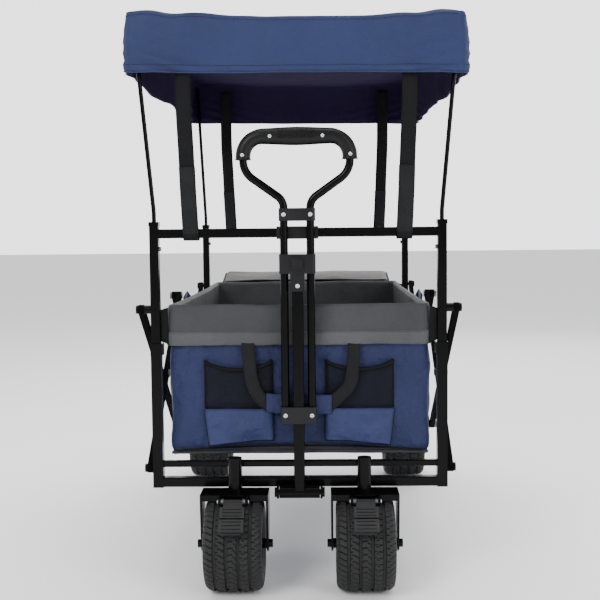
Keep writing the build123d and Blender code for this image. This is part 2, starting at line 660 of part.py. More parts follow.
def pockets():
    def one(s):
        x0 = s * POCKET_INNER_X
        x1 = s * POCKET_OUTER_X
        front = FRAME_Y - BASKET_OVERHANG
        pouch = box(x0, x1, front - POCKET_DEPTH, front, POCKET_BOTTOM_Z, POCKET_TOP_Z)
        room = box(x0 + s * 2, x1 - s * 2, front - POCKET_DEPTH + POCKET_WALL, front - POCKET_WALL / 2,
                   POCKET_BOTTOM_Z + 2, POCKET_TOP_Z + 1)
        return pouch - room
    return both(one)


def carry_strap():
    front = FRAME_Y - BASKET_OVERHANG
    back = front - POCKET_DEPTH - 0.3
    fore = back - WRAP_T

    def limb(s):
        half = STRAP_WIDTH / 2
        lean = Polyline((s * (CARRY_TOP_X - half), BAND_BOTTOM_Z), (s * (CARRY_TOP_X + half), BAND_BOTTOM_Z),
                        (s * (CARRY_LOW_X + half), WRAP_Z + 16), (s * CARRY_LOW_X, WRAP_Z - 16),
                        (s * (CARRY_LOW_X - half), WRAP_Z - 16), close=True)
        face = Plane(origin=(0, back, 0), x_dir=(1, 0, 0), z_dir=(0, -1, 0))
        return extrude(face * make_face(lean), amount=STRAP_T)
    wrap = box(-WRAP_HALF, WRAP_HALF, fore, back, WRAP_Z - WRAP_RISE, WRAP_Z + WRAP_RISE)
    return limb(-1) + limb(1) + wrap


def bag_block(inset, floor_z, lift):
    """Pouch block with a mouth that slopes up to the back."""
    y0 = REAR_Y + BAG_GAP
    y1 = y0 + BAG_DEPTH
    slope = (BAG_TOP_Z - BAG_FRONT_Z) / BAG_DEPTH
    a = y0 + inset
    b = y1 - inset
    outline = Polyline((a, floor_z), (b, floor_z), (b, BAG_FRONT_Z + slope * (b - y0) + lift),
                       (a, BAG_FRONT_Z + slope * (a - y0) + lift), close=True)
    half = BAG_HALF - inset
    face = Plane(origin=(-half, 0, 0), x_dir=(0, 1, 0), z_dir=(1, 0, 0))
    return extrude(face * make_face(outline), amount=2 * half)


def rear_bag():
    return bag_block(0, BAG_BOTTOM_Z, 0) - bag_block(CLOTH_WALL, BAG_BOTTOM_Z + CLOTH_WALL, 5)


def bag_lid():
    """Lid that turns on a round seam along the front edge of the mouth."""
    hinge_y = REAR_Y + BAG_GAP
    length = BAG_DEPTH / cos(LID_SLOPE)
    sheet = Pos(0, length / 2, 0) * Box(2 * BAG_HALF, length, CLOTH_WALL)
    bead = cyl_x(-BAG_HALF, BAG_HALF, hinge_y, LID_HINGE_Z, LID_BEAD_R)
    return Pos(0, hinge_y, LID_HINGE_Z) * Rot(degrees(LID_SLOPE), 0, 0) * sheet + bead


def make_soft():
    half = BASKET_WIDTH / 2
    y0 = FRAME_Y - BASKET_OVERHANG
    y1 = REAR_Y + BASKET_OVERHANG
    save("basket_shell", shell_box(half, y0, y1, BASKET_BOTTOM_Z, BAND_BOTTOM_Z, CLOTH_WALL, CLOTH_WALL))
    save("rim_band", shell_box(half, y0, y1, BAND_BOTTOM_Z, RIM_Z, BAND_WALL, 0))
    gap = CLOTH_WALL + MAT_CLEAR
    floor = BASKET_BOTTOM_Z + CLOTH_WALL
    save("floor_mat", box(-half + gap, half - gap, y0 + gap, y1 - gap, floor, floor + MAT_T))
    save("front_pockets", *pockets())
    save("carry_strap", carry_strap())
    save("rear_bag", rear_bag())
    save("rear_bag_lid", bag_lid())
    save("canopy", canopy())
    save("front_canopy_straps", *canopy_straps(FRAME_Y))
    save("rear_canopy_straps", *canopy_straps(REAR_Y))


make_frame()
make_legs()
make_wheels()
make_handle()
make_soft()
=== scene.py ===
import json
import math

import bmesh
import bpy
from mathutils import Matrix, Vector, noise


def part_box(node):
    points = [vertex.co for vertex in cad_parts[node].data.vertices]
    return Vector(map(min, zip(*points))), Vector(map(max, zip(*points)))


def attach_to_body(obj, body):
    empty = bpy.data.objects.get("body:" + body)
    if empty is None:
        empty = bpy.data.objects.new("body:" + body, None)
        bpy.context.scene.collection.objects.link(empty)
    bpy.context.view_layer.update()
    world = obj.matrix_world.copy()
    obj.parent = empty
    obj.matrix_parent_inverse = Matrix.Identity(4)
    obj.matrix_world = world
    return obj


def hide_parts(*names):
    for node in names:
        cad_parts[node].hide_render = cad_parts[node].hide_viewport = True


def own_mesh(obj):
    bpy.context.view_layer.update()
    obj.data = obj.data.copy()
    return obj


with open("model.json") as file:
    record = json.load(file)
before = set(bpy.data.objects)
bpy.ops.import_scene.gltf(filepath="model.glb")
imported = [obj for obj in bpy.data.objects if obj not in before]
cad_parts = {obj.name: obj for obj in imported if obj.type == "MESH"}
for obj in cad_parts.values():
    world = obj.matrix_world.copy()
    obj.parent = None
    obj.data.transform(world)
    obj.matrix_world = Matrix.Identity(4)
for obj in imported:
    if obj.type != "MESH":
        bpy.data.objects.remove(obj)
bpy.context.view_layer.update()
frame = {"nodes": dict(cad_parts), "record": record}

# ---- places read from the frame, in metres ----
POST_LOW, POST_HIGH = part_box("front_upper_posts")
REAR_LOW, REAR_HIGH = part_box("rear_upper_posts")
FRONT_Y = (POST_LOW.y + POST_HIGH.y) / 2
REAR_Y = (REAR_LOW.y + REAR_HIGH.y) / 2
MID_Y = (FRONT_Y + REAR_Y) / 2
SHELL_LOW, SHELL_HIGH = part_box("basket_shell")
BAND_LOW, BAND_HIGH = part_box("rim_band")
CANOPY_LOW, CANOPY_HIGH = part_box("canopy")
LENGTH = REAR_Y - FRONT_Y
CLOTH = 0.0016
CORNER_CALM = 0.03           # creases die out this near a corner of the canopy
GROOVE_DEPTH = 0.0036
SIPE_DEPTH = 0.0022
SCREW_R = 0.0042
THREAD_R = 0.0005
SEED = 7.3


# ---- mesh helpers ----
def wobble(x, y, z, scale, size):
    """Smooth noise of about plus or minus size, with features about scale across."""
    return size * noise.noise(Vector((x / scale + SEED, y / scale, z / scale)))


def new_object(name, verts, faces, materials, uvs=None, indices=None, smooth=True):
    mesh = bpy.data.meshes.new(name)
    mesh.from_pydata([tuple(v) for v in verts], [], faces)
    for material in materials:
        mesh.materials.append(material)
    if uvs is not None:
        layer = mesh.uv_layers.new(name="UVMap")
        for loop in mesh.loops:
            layer.data[loop.index].uv = uvs[loop.vertex_index]
    for polygon in mesh.polygons:
        polygon.use_smooth = smooth
        if indices is not None:
            polygon.material_index = indices[polygon.index]
    mesh.update()
    obj = bpy.data.objects.new(name, mesh)
    bpy.context.scene.collection.objects.link(obj)
    return obj


def apply_all(obj):
    """Turns the modifiers into the mesh itself."""
    bpy.context.view_layer.update()
    graph = bpy.context.evaluated_depsgraph_get()
    mesh = bpy.data.meshes.new_from_object(obj.evaluated_get(graph))
    obj.modifiers.clear()
    obj.data = mesh
    return obj


def thicken(obj, thickness, offset=-1.0, inner_material=0, levels=0):
    solid = obj.modifiers.new("solid", "SOLIDIFY")
    solid.thickness = thickness
    solid.offset = offset
    solid.material_offset = inner_material
    if levels:
        sub = obj.modifiers.new("sub", "SUBSURF")
        sub.levels = levels
        sub.render_levels = levels
    return apply_all(obj)


def grid(name, nu, nv, place, materials, size, closed=False, index=None):
    """A sheet of nu by nv cells; place(u, v) gives each point and size its width and height for the weave."""
    columns = nu if closed else nu + 1
    verts, uvs, faces, indices = [], [], [], []
    for j in range(nv + 1):
        for i in range(columns):
            u, v = i / nu, j / nv
            verts.append(place(u, v))
            uvs.append((u * size[0], v * size[1]))
    for j in range(nv):
        for i in range(nu):
            a = j * columns + i
            b = j * columns + (i + 1) % columns
            faces.append((a, b, b + columns, a + columns))
            indices.append(index((i + 0.5) / nu, (j + 0.5) / nv) if index else 0)
    return new_object(name, verts, faces, materials, uvs, indices)


def ring_faces(rows, around, closed=False):
    """Quads between rows of points that each run once round."""
    faces = []
    for k in range(rows if closed else rows - 1):
        m = (k + 1) % rows
        for i in range(around):
            j = (i + 1) % around
            faces.append((k * around + i, k * around + j, m * around + j, m * around + i))
    return faces


def tube(name, points, radius, material, closed=False, sides=10):
    """A round bead along a line of points."""
    points = [Vector(p) for p in points]
    count = len(points)
    verts, uvs = [], []
    run = 0.0
    side = None
    for k, p in enumerate(points):
        before = points[k - 1] if (k or closed) else p
        after = points[(k + 1) % count] if (k < count - 1 or closed) else p
        along = (after - before).normalized()
        if side is None:
            side = along.orthogonal().normalized()
        side = (side - along * side.dot(along)).normalized()
        up = along.cross(side)
        run += (p - points[k - 1]).length if k else 0.0
        for i in range(sides):
            turn = 2 * math.pi * i / sides
            verts.append(p + radius * (math.cos(turn) * side + math.sin(turn) * up))
            uvs.append((run, i * radius / sides * 6))
    faces = ring_faces(count, sides, closed)
    if not closed:
        faces.append(tuple(range(sides))[::-1])
        faces.append(tuple((count - 1) * sides + i for i in range(sides)))
    return new_object(name, verts, faces, [material], uvs)


def ribbon(name, points, width, thickness, material, across=None):
    """A flat strap along points. Its width lies along X, or along the directions in across."""
    count = len(points)
    across = [Vector(w).normalized() for w in across or [(1, 0, 0)] * count]
    lengths = [0.0]
    for a, b in zip(points, points[1:]):
        lengths.append(lengths[-1] + (Vector(b) - Vector(a)).length)

    def place(u, v):
        k = min(int(round(u * (count - 1))), count - 1)
        bow = 1 - (2 * v - 1) ** 2
        return Vector(points[k]) + across[k] * (v - 0.5) * width + Vector((0, 0.0004, 0)) * bow
    obj = grid(name, count - 1, 4, place, [material], (lengths[-1], width))
    return thicken(obj, thickness, 0.0)


def smooth_line(points, count):
    """Evenly spaced points on a smooth curve through the given ones."""
    pts = [Vector(p) for p in points]
    out = []
    spans = len(pts) - 1
    for k in range(count + 1):
        t = k / count * spans
        i = min(int(t), spans - 1)
        f = t - i
        p0, p1, p2, p3 = pts[max(i - 1, 0)], pts[i], pts[i + 1], pts[min(i + 2, spans)]
        out.append(0.5 * ((2 * p1) + (p2 - p0) * f + (2 * p0 - 5 * p1 + 4 * p2 - p3) * f * f
                          + (3 * p1 - p0 - 3 * p2 + p3) * f ** 3))
    return out


def rounded_plan(half_front, half_rear, y0, y1, radius, count):
    """Evenly spaced points and outward normals round a tapered rectangle with round corners."""
    corners = [(half_front, y0), (half_rear, y1), (-half_rear, y1), (-half_front, y0)]
    dense = []
    for k, (cx, cy) in enumerate(corners):
        sx, sy = (1 if cx > 0 else -1), (1 if cy > (y0 + y1) / 2 else -1)
        start = (-90, 0, 90, 180)[k]
        centre = Vector((cx - sx * radius, cy - sy * radius, 0))
        for i in range(13):
            turn = math.radians(start + 90 * i / 12)
            dense.append((centre + radius * Vector((math.cos(turn), math.sin(turn), 0))))
    lengths = [0.0]
    loop = dense + [dense[0]]
    for a, b in zip(loop, loop[1:]):
        lengths.append(lengths[-1] + (b - a).length)
    total = lengths[-1]
    out = []
    k = 0
    for i in range(count):
        s = total * i / count
        while lengths[k + 1] < s:
            k += 1
        f = (s - lengths[k]) / max(lengths[k + 1] - lengths[k], 1e-9)
        p = loop[k].lerp(loop[k + 1], f)
        d = (loop[k + 1] - loop[k]).normalized()
        out.append((p, Vector((d.y, -d.x, 0))))
    return out, total


# ---- materials ----
def ramp(nodes, links, source, stops):
    node = nodes.new("ShaderNodeValToRGB")
    for element, (position, colour) in zip(node.color_ramp.elements, stops):
        element.position = position
        element.color = (*colour, 1)
    links.new(source, node.inputs["Fac"])
    return node.outputs["Color"]


def scaled(colour, k):
    return tuple(min(1.0, c * k) for c in colour)


class Look:
    """One material: a principled shader fed by procedural textures."""

    def __init__(self, name, roughness, gloss=0.25, **sockets):
        self.material = bpy.data.materials.new(name)
        self.material.use_nodes = True
        self.nodes = self.material.node_tree.nodes
        self.links = self.material.node_tree.links
        self.shader = self.nodes["Principled BSDF"]
        self.shader.inputs["Roughness"].default_value = roughness
        self.shader.inputs["Specular IOR Level"].default_value = gloss
        for key, value in sockets.items():
            self.shader.inputs[key.replace("_", " ")].default_value = value
        self.coords = self.nodes.new("ShaderNodeTexCoord")

    def noise(self, scale, detail=4.0):
        node = self.nodes.new("ShaderNodeTexNoise")
        node.inputs["Scale"].default_value = scale
        node.inputs["Detail"].default_value = detail
        self.links.new(self.coords.outputs["Object"], node.inputs["Vector"])
        return node.outputs["Fac"]

    def wave(self, direction, pitch):
        node = self.nodes.new("ShaderNodeTexWave")
        node.bands_direction = direction
        node.inputs["Scale"].default_value = 0.314 / pitch
        self.links.new(self.coords.outputs["UV"], node.inputs["Vector"])
        return node.outputs["Fac"]

    def maths(self, operation, a, b):
        node = self.nodes.new("ShaderNodeMath")
        node.operation = operation
        for slot, value in zip(node.inputs, (a, b)):
            if isinstance(value, (int, float)):
                slot.default_value = value
            else:
                self.links.new(value, slot)
        return node.outputs[0]

    def tint(self, source, colour, low, high):
        """Base colour from a texture: low and high are its level and the factor on the colour there."""
        stops = [(level, scaled(colour, k)) for level, k in (low, high)]
        self.links.new(ramp(self.nodes, self.links, source, stops), self.shader.inputs["Base Color"])

    def bump(self, height, strength, distance, chain=None):
        node = self.nodes.new("ShaderNodeBump")
        node.inputs["Strength"].default_value = strength
        node.inputs["Distance"].default_value = distance
        self.links.new(height, node.inputs["Height"])
        if chain is not None:
            self.links.new(chain, node.inputs["Normal"])
        self.links.new(node.outputs["Normal"], self.shader.inputs["Normal"])
        return node.outputs["Normal"]


def woven(name, colour, pitch=0.0011, crinkle=1.0, sheen=0.02, roughness=0.6, contrast=0.16, gloss=0.2):
    """Plain-weave cloth: crossed threads, faint shade drift and soft crinkles."""
    look = Look(name, roughness, gloss, Sheen_Weight=sheen, Sheen_Roughness=0.5)
    threads = look.maths("MULTIPLY", look.wave("X", pitch), look.wave("Y", pitch))
    tone = look.maths("ADD", look.maths("MULTIPLY", look.noise(7.0, 3.0), 0.55),
                      look.maths("MULTIPLY", look.noise(420.0, 2.0), 0.25))
    tone = look.maths("ADD", tone, look.maths("MULTIPLY", threads, 0.2))
    look.tint(tone, colour, (0.25, 1 - contrast), (0.75, 1 + contrast))
    first = look.bump(look.noise(16.0, 6.0), 0.5 * crinkle, 0.016)
    look.bump(threads, 0.35, 0.0004, first)
    return look.material


def webbing(name, colour, pitch=0.0022):
    """Ribbed nylon webbing."""
    look = Look(name, 0.7, 0.1)
    weave = look.maths("MAXIMUM", look.wave("X", pitch), look.wave("Y", pitch * 1.6))
    drift = look.maths("MULTIPLY", look.noise(30.0), 0.5)
    tone = look.maths("ADD", look.maths("MULTIPLY", weave, 0.5), drift)
    look.tint(tone, colour, (0.2, 0.6), (0.85, 1.5))
    look.bump(weave, 0.6, 0.0006)
    return look.material


def coated(name, colour, roughness, grain=380.0, strength=0.12, gloss=0.25):
    """Powder coat or moulded plastic: fine orange peel and faint scuffs."""
    look = Look(name, roughness, gloss)
    peel = look.noise(grain, 2.0)
    scuff = look.noise(14.0, 8.0)
    look.tint(scuff, colour, (0.35, 0.8), (0.8, 1.35))
    rough_stops = ((0.3, (roughness * 0.85,) * 3), (0.8, (min(1, roughness * 1.25),) * 3))
    look.links.new(ramp(look.nodes, look.links, scuff, rough_stops), look.shader.inputs["Roughness"])
    look.bump(peel, strength, 0.0006)
    return look.material


def brushed(name, colour):
    look = Look(name, 0.32, Metallic=1.0)
    lines = look.noise(900.0, 3.0)
    look.tint(lines, colour, (0.3, 0.75), (0.7, 1.0))
    look.bump(lines, 0.08, 0.0002)
    return look.material


def netting(name, colour, pitch=0.0032):
    """Knitted mesh: dark threads with open holes."""
    look = Look(name, 0.7)
    hole = look.maths("MULTIPLY", look.wave("X", pitch), look.wave("Y", pitch))
    solid = look.maths("LESS_THAN", hole, 0.15)
    look.tint(look.noise(60.0), colour, (0.3, 0.7), (0.7, 1.3))
    look.links.new(solid, look.shader.inputs["Alpha"])
    look.bump(hole, 0.4, 0.0006)
    return look.material


BLUE = woven("blue_cloth", (0.018, 0.025, 0.078), crinkle=3.0, contrast=0.35)
ROYAL = woven("canopy_cloth", (0.019, 0.029, 0.088), crinkle=1.1, contrast=0.18)
# Canopy underside: a darker navy, partly for its coated lining and partly painted shade under the roof.
ROYAL_UNDER_SHADED = woven("canopy_lining_and_painted_shade", (0.019, 0.0125, 0.040), crinkle=0.6, sheen=0.0, roughness=0.9,
                    gloss=0.05)
GREY = woven("grey_cloth", (0.044, 0.0455, 0.049), pitch=0.0014, contrast=0.35)
GREY_HEM = woven("grey_hem_cloth", (0.070, 0.072, 0.076), pitch=0.0014, contrast=0.4)
LID_GREY = woven("lid_cloth", (0.072, 0.067, 0.065), pitch=0.0014, contrast=0.3)
LINING = woven("lining_cloth", (0.034, 0.034, 0.038), pitch=0.0014, contrast=0.3)
WEB = webbing("black_webbing", (0.0060, 0.0061, 0.0066))
LOOP_WEB = webbing("loop_tape", (0.0115, 0.0118, 0.0130), pitch=0.0013)
PIPING = coated("black_piping", (0.0035, 0.0035, 0.004), 0.6, 900.0, 0.3, 0.12)
THREAD = coated("sewing_thread", (0.012, 0.014, 0.03), 0.7, 1500.0, 0.5)
GREY_THREAD = coated("grey_sewing_thread", (0.10, 0.10, 0.105), 0.7, 1500.0, 0.5)
STEEL = coated("black_powder_coat", (0.0018, 0.0018, 0.0019), 0.22, strength=0.06, gloss=0.10)
PLASTIC = coated("moulded_black_plastic", (0.0078, 0.0078, 0.0088), 0.36, 700.0, 0.2, 0.22)
DARK_PLASTIC = coated("pedal_plastic", (0.0075, 0.0077, 0.0085), 0.42, 500.0, 0.25, 0.3)
GRIP = coated("soft_grip", (0.0045, 0.0045, 0.005), 0.4, 1100.0, 0.3, 0.2)
RUBBER = coated("tyre_rubber", (0.0135, 0.0137, 0.0142), 0.6, 600.0, 0.3, 0.3)
ZINC = brushed("zinc_screw", (0.62, 0.63, 0.65))
DULL = brushed("plated_steel", (0.16, 0.16, 0.17))
NET = netting("pocket_net", (0.0016, 0.0018, 0.0042), pitch=0.0019)
# Pouch cloth: the blue cloth in a lighter tone, painted light where the pouch faces up.
POUCH_PAINTED_LIGHT = woven("pouch_cloth_painted_light", (0.027, 0.037, 0.106), crinkle=2.6, contrast=0.35)
# Thin dark navy bead round the pouch: a painted shadow line along its edges.
NAVY_PAINTED_SHADOW = coated("navy_painted_shadow_line", (0.004, 0.0045, 0.012), 0.6, 900.0, 0.3, 0.1)
CARRY_WEB = webbing("carry_webbing", (0.0098, 0.0100, 0.0110))
LEG_STEEL = coated("leg_powder_coat", (0.0032, 0.0032, 0.0034), 0.5, strength=0.06, gloss=0.01)

CAD_LOOKS = {"black_steel": STEEL, "zinc_steel": DULL, "mould_plastic": PLASTIC, "hub_plastic": PLASTIC,
             "grip_rubber": GRIP, "tyre_rubber": RUBBER, "blue_fabric": BLUE, "canopy_fabric": ROYAL,
             "grey_fabric": GREY, "webbing": WEB}


def dress_cad():
    slots = {row["node"]: row["material_slot"] for row in frame["record"]["subparts"]}
    for node, obj in frame["nodes"].items():
        look = CAD_LOOKS[slots[node]]
        if "pedal" in node:
            look = DARK_PLASTIC
        if "scissor_legs" in node:
            look = LEG_STEEL
        obj.data.materials.clear()
        obj.data.materials.append(look)


def attach(obj, body, slot, *nodes):
    """Lets a piece ride on a body and hides the CAD nodes that it stands for; slot is not used."""
    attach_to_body(obj, body)
    if nodes:
        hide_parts(*nodes)


def drape(obj, slot, *nodes):
    """Cloth of the basket or the canopy, which rides on the front upper frame with a mesh of its own."""
    attach(obj, FRONT, slot, *nodes)
    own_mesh(obj)


FRONT = "front_upper_frame"
REAR = "rear_upper_frame"


# ---- canopy ----
def make_canopy():
    half_front = CANOPY_HIGH.x
    half_rear = half_front * 0.935
    y0, y1 = CANOPY_LOW.y, CANOPY_HIGH.y
    around, top_rings, drop_rings = 320, 34, 16
    plan, total = rounded_plan(half_front - 0.004, half_rear - 0.004, y0 + 0.004, y1 - 0.004, 0.004, around)
    centre = Vector((0, (y0 + y1) / 2, 0))
    top_z, hem_z = CANOPY_HIGH.z + 0.009, CANOPY_LOW.z + 0.003
    tilt = -0.013
    corner_span = 0.16

    def corner_pull(p):
        dx = (half_front - abs(p.x)) / corner_span
        dy = min(p.y - y0, y1 - p.y) / corner_span
        return math.exp(-(dx * dx + dy * dy))

    def roof(p):
        a = max(-1.0, min(1.0, p.x / half_front))
        b = max(-1.0, min(1.0, (p.y - centre.y) / ((y1 - y0) / 2)))
        edge_sag = 0.010 * (1 - a ** 2) ** 1.2 + 0.008 * (1 - b * b)
        belly = 0.016 * (1 - a * a) * (1 - b * b)
        rear_drop = 0.008 * (b + 1) / 2
        ripple = wobble(p.x, p.y, 0, 0.11, 0.003) + wobble(p.x, p.y, 3, 0.04, 0.0009)
        ridges = 0.0025 * corner_pull(p) * math.sin(70 * (p.x * (1 if p.x > 0 else -1) - abs(p.y - centre.y)))
        return top_z - edge_sag - belly - rear_drop + ripple + ridges + tilt * p.x

    verts, uvs, faces, indices = [], [], [], []
    rings = []
    for r in range(1, top_rings + 1):
        t = r / top_rings
        rings.append(("top", 1 - (1 - t) ** 1.25))
    for r in range(1, drop_rings + 1):
        rings.append(("drop", r / drop_rings))
    verts.append(Vector((0, centre.y, roof(centre))))
    uvs.append((0.0, centre.y))
    bend = 0.004
    for kind, t in rings:
        for i, (p, n) in enumerate(plan):
            if kind == "top":
                q = centre.lerp(p, t)
                z = roof(q)
                edge = max(0.0, 1 - (p - q).length / bend)
                z -= bend * 0.45 * edge * edge
                verts.append(Vector((q.x, q.y, z)))
                uvs.append((q.x, q.y))
            else:
                ztop = roof(p) - bend * 0.45
                hem_wave = wobble(p.x, p.y, 9, 0.16, 0.002)
                side = abs(n.x) > 0.7
                low = hem_z + hem_wave + (0.004 * math.sin(p.y * 14) if side else 0.0) + tilt * p.x
                z = ztop + (low - ztop) * t
                inset = (half_front - abs(p.x), min(p.y - y0, y1 - p.y))
                calm = 1 - 0.8 * math.exp(-(inset[0] / CORNER_CALM) ** 2 - (inset[1] / CORNER_CALM) ** 2)
                swell = 0.004 * math.sin(math.pi * min(1, t * 1.05)) + 0.0065 * t
                creases = wobble(p.x * 1.0, p.y, z * 0.25, 0.075, 0.0060) * (0.35 + 0.65 * t) * calm
                spread = abs(p.x) + abs(p.y - centre.y)
                fold = 0.0050 * corner_pull(p) * math.sin(60 * spread + 30 * t) * calm
                hem = 0.0011 if t > 0.86 else 0.0
                seam = -0.0009 if abs(t - 0.845) < 0.03 else 0.0
                q = p + n * (swell + creases + fold * t + hem + seam)
                verts.append(Vector((q.x, q.y, z)))
                uvs.append((total * i / around, z))
    for i in range(around):
        faces.append((0, 1 + i, 1 + (i + 1) % around))
        indices.append(0)
    for r in range(len(rings) - 1):
        for i in range(around):
            a, b = 1 + r * around + i, 1 + r * around + (i + 1) % around
            faces.append((a, a + around, b + around, b))
            indices.append(0)
    # The inner faces take the underside cloth, darkened partly as painted shade.
    obj = new_object("canopy_cover", verts, faces, [ROYAL, ROYAL_UNDER_SHADED], uvs, indices)
    obj = thicken(obj, CLOTH, -1.0, 1)
    drape(obj, "canopy_fabric", "canopy")
    last = 1 + (len(rings) - 1) * around
    hem_points = [verts[last + i] + Vector((0, 0, 0.0006)) for i in range(around)]
    bead = tube("canopy_hem", hem_points, 0.0015, ROYAL, closed=True, sides=8)
    drape(bead, "canopy_fabric")
    stitch_ring = 1 + (top_rings + int(drop_rings * 0.84)) * around
    edge_ring = 1 + top_rings * around
    for name, ring in (("canopy_hem_stitch", stitch_ring), ("canopy_edge_stitch", edge_ring)):
        line = []
        for i, (p, n) in enumerate(plan):
            line.append(verts[ring + i] + n * 0.0004)
        dashes = stitches(name, line, 0.0038, 0.0024, THREAD_R, THREAD)
        drape(dashes, "canopy_fabric")


def stitches(name, line, pitch, dash, radius, material):
    """A row of short thread stitches that lie along a line."""
    verts, faces = [], []
    lengths = [0.0]
    for a, b in zip(line, line[1:]):
        lengths.append(lengths[-1] + (b - a).length)
    k, s = 0, 0.0
    while s + dash < lengths[-1]:
        ends = []
        for at in (s, s + dash):
            while k < len(line) - 2 and lengths[k + 1] < at:
                k += 1
            span = max(lengths[k + 1] - lengths[k], 1e-9)
            ends.append(line[k].lerp(line[k + 1], (at - lengths[k]) / span))
        along = (ends[1] - ends[0]).normalized()
        side = along.orthogonal().normalized()
        up = along.cross(side)
        base = len(verts)
        for p in ends:
            for i in range(4):
                turn = math.pi / 2 * i
                verts.append(p + radius * (math.cos(turn) * side + math.sin(turn) * up))
        for i in range(4):
            j = (i + 1) % 4
            faces.append((base + i, base + j, base + 4 + j, base + 4 + i))
        faces.append((base + 3, base + 2, base + 1, base))
        faces.append((base + 4, base + 5, base + 6, base + 7))
        s += pitch
    return new_object(name, verts, faces, [material])


# ---- basket ----
BASKET_HALF = SHELL_HIGH.x
BASKET_Y0, BASKET_Y1 = SHELL_LOW.y, SHELL_HIGH.y
BOTTOM_Z, BAND_Z, RIM_Z = SHELL_LOW.z, BAND_LOW.z, BAND_HIGH.z
HEM_Z = BAND_Z + 0.0245


def end_share(p):
    """One on the two end walls, falling to nothing on the side walls."""
    return 1.0 if min(p.y - BASKET_Y0, BASKET_Y1 - p.y) < 0.03 else 0.0


def basket_wall(p, z):
    """Outward offset of the basket's cloth at a point of its wall."""
    t = (z - BOTTOM_Z) / (BAND_Z - BOTTOM_Z)
    ends = end_share(p)
    sag = 0.0045 * math.sin(math.pi * max(0.0, min(1.0, t)))
    ripple = wobble(p.x, p.y, z * 0.6, 0.07, 0.0050) + wobble(p.x, p.y, z, 0.030, 0.0022)
    corner = math.exp(-((BASKET_HALF - abs(p.x)) / 0.07) ** 2) if ends else 0.0
    folds = 0.0045 * corner * math.sin(38 * z + 45 * abs(p.x))
    seam = -0.006 * math.exp(-((BASKET_HALF - 0.016 - abs(p.x)) / 0.006) ** 2) if ends else 0.0
    return (sag + ripple + folds) * (0.6 if ends else 1.0) + seam - 0.002


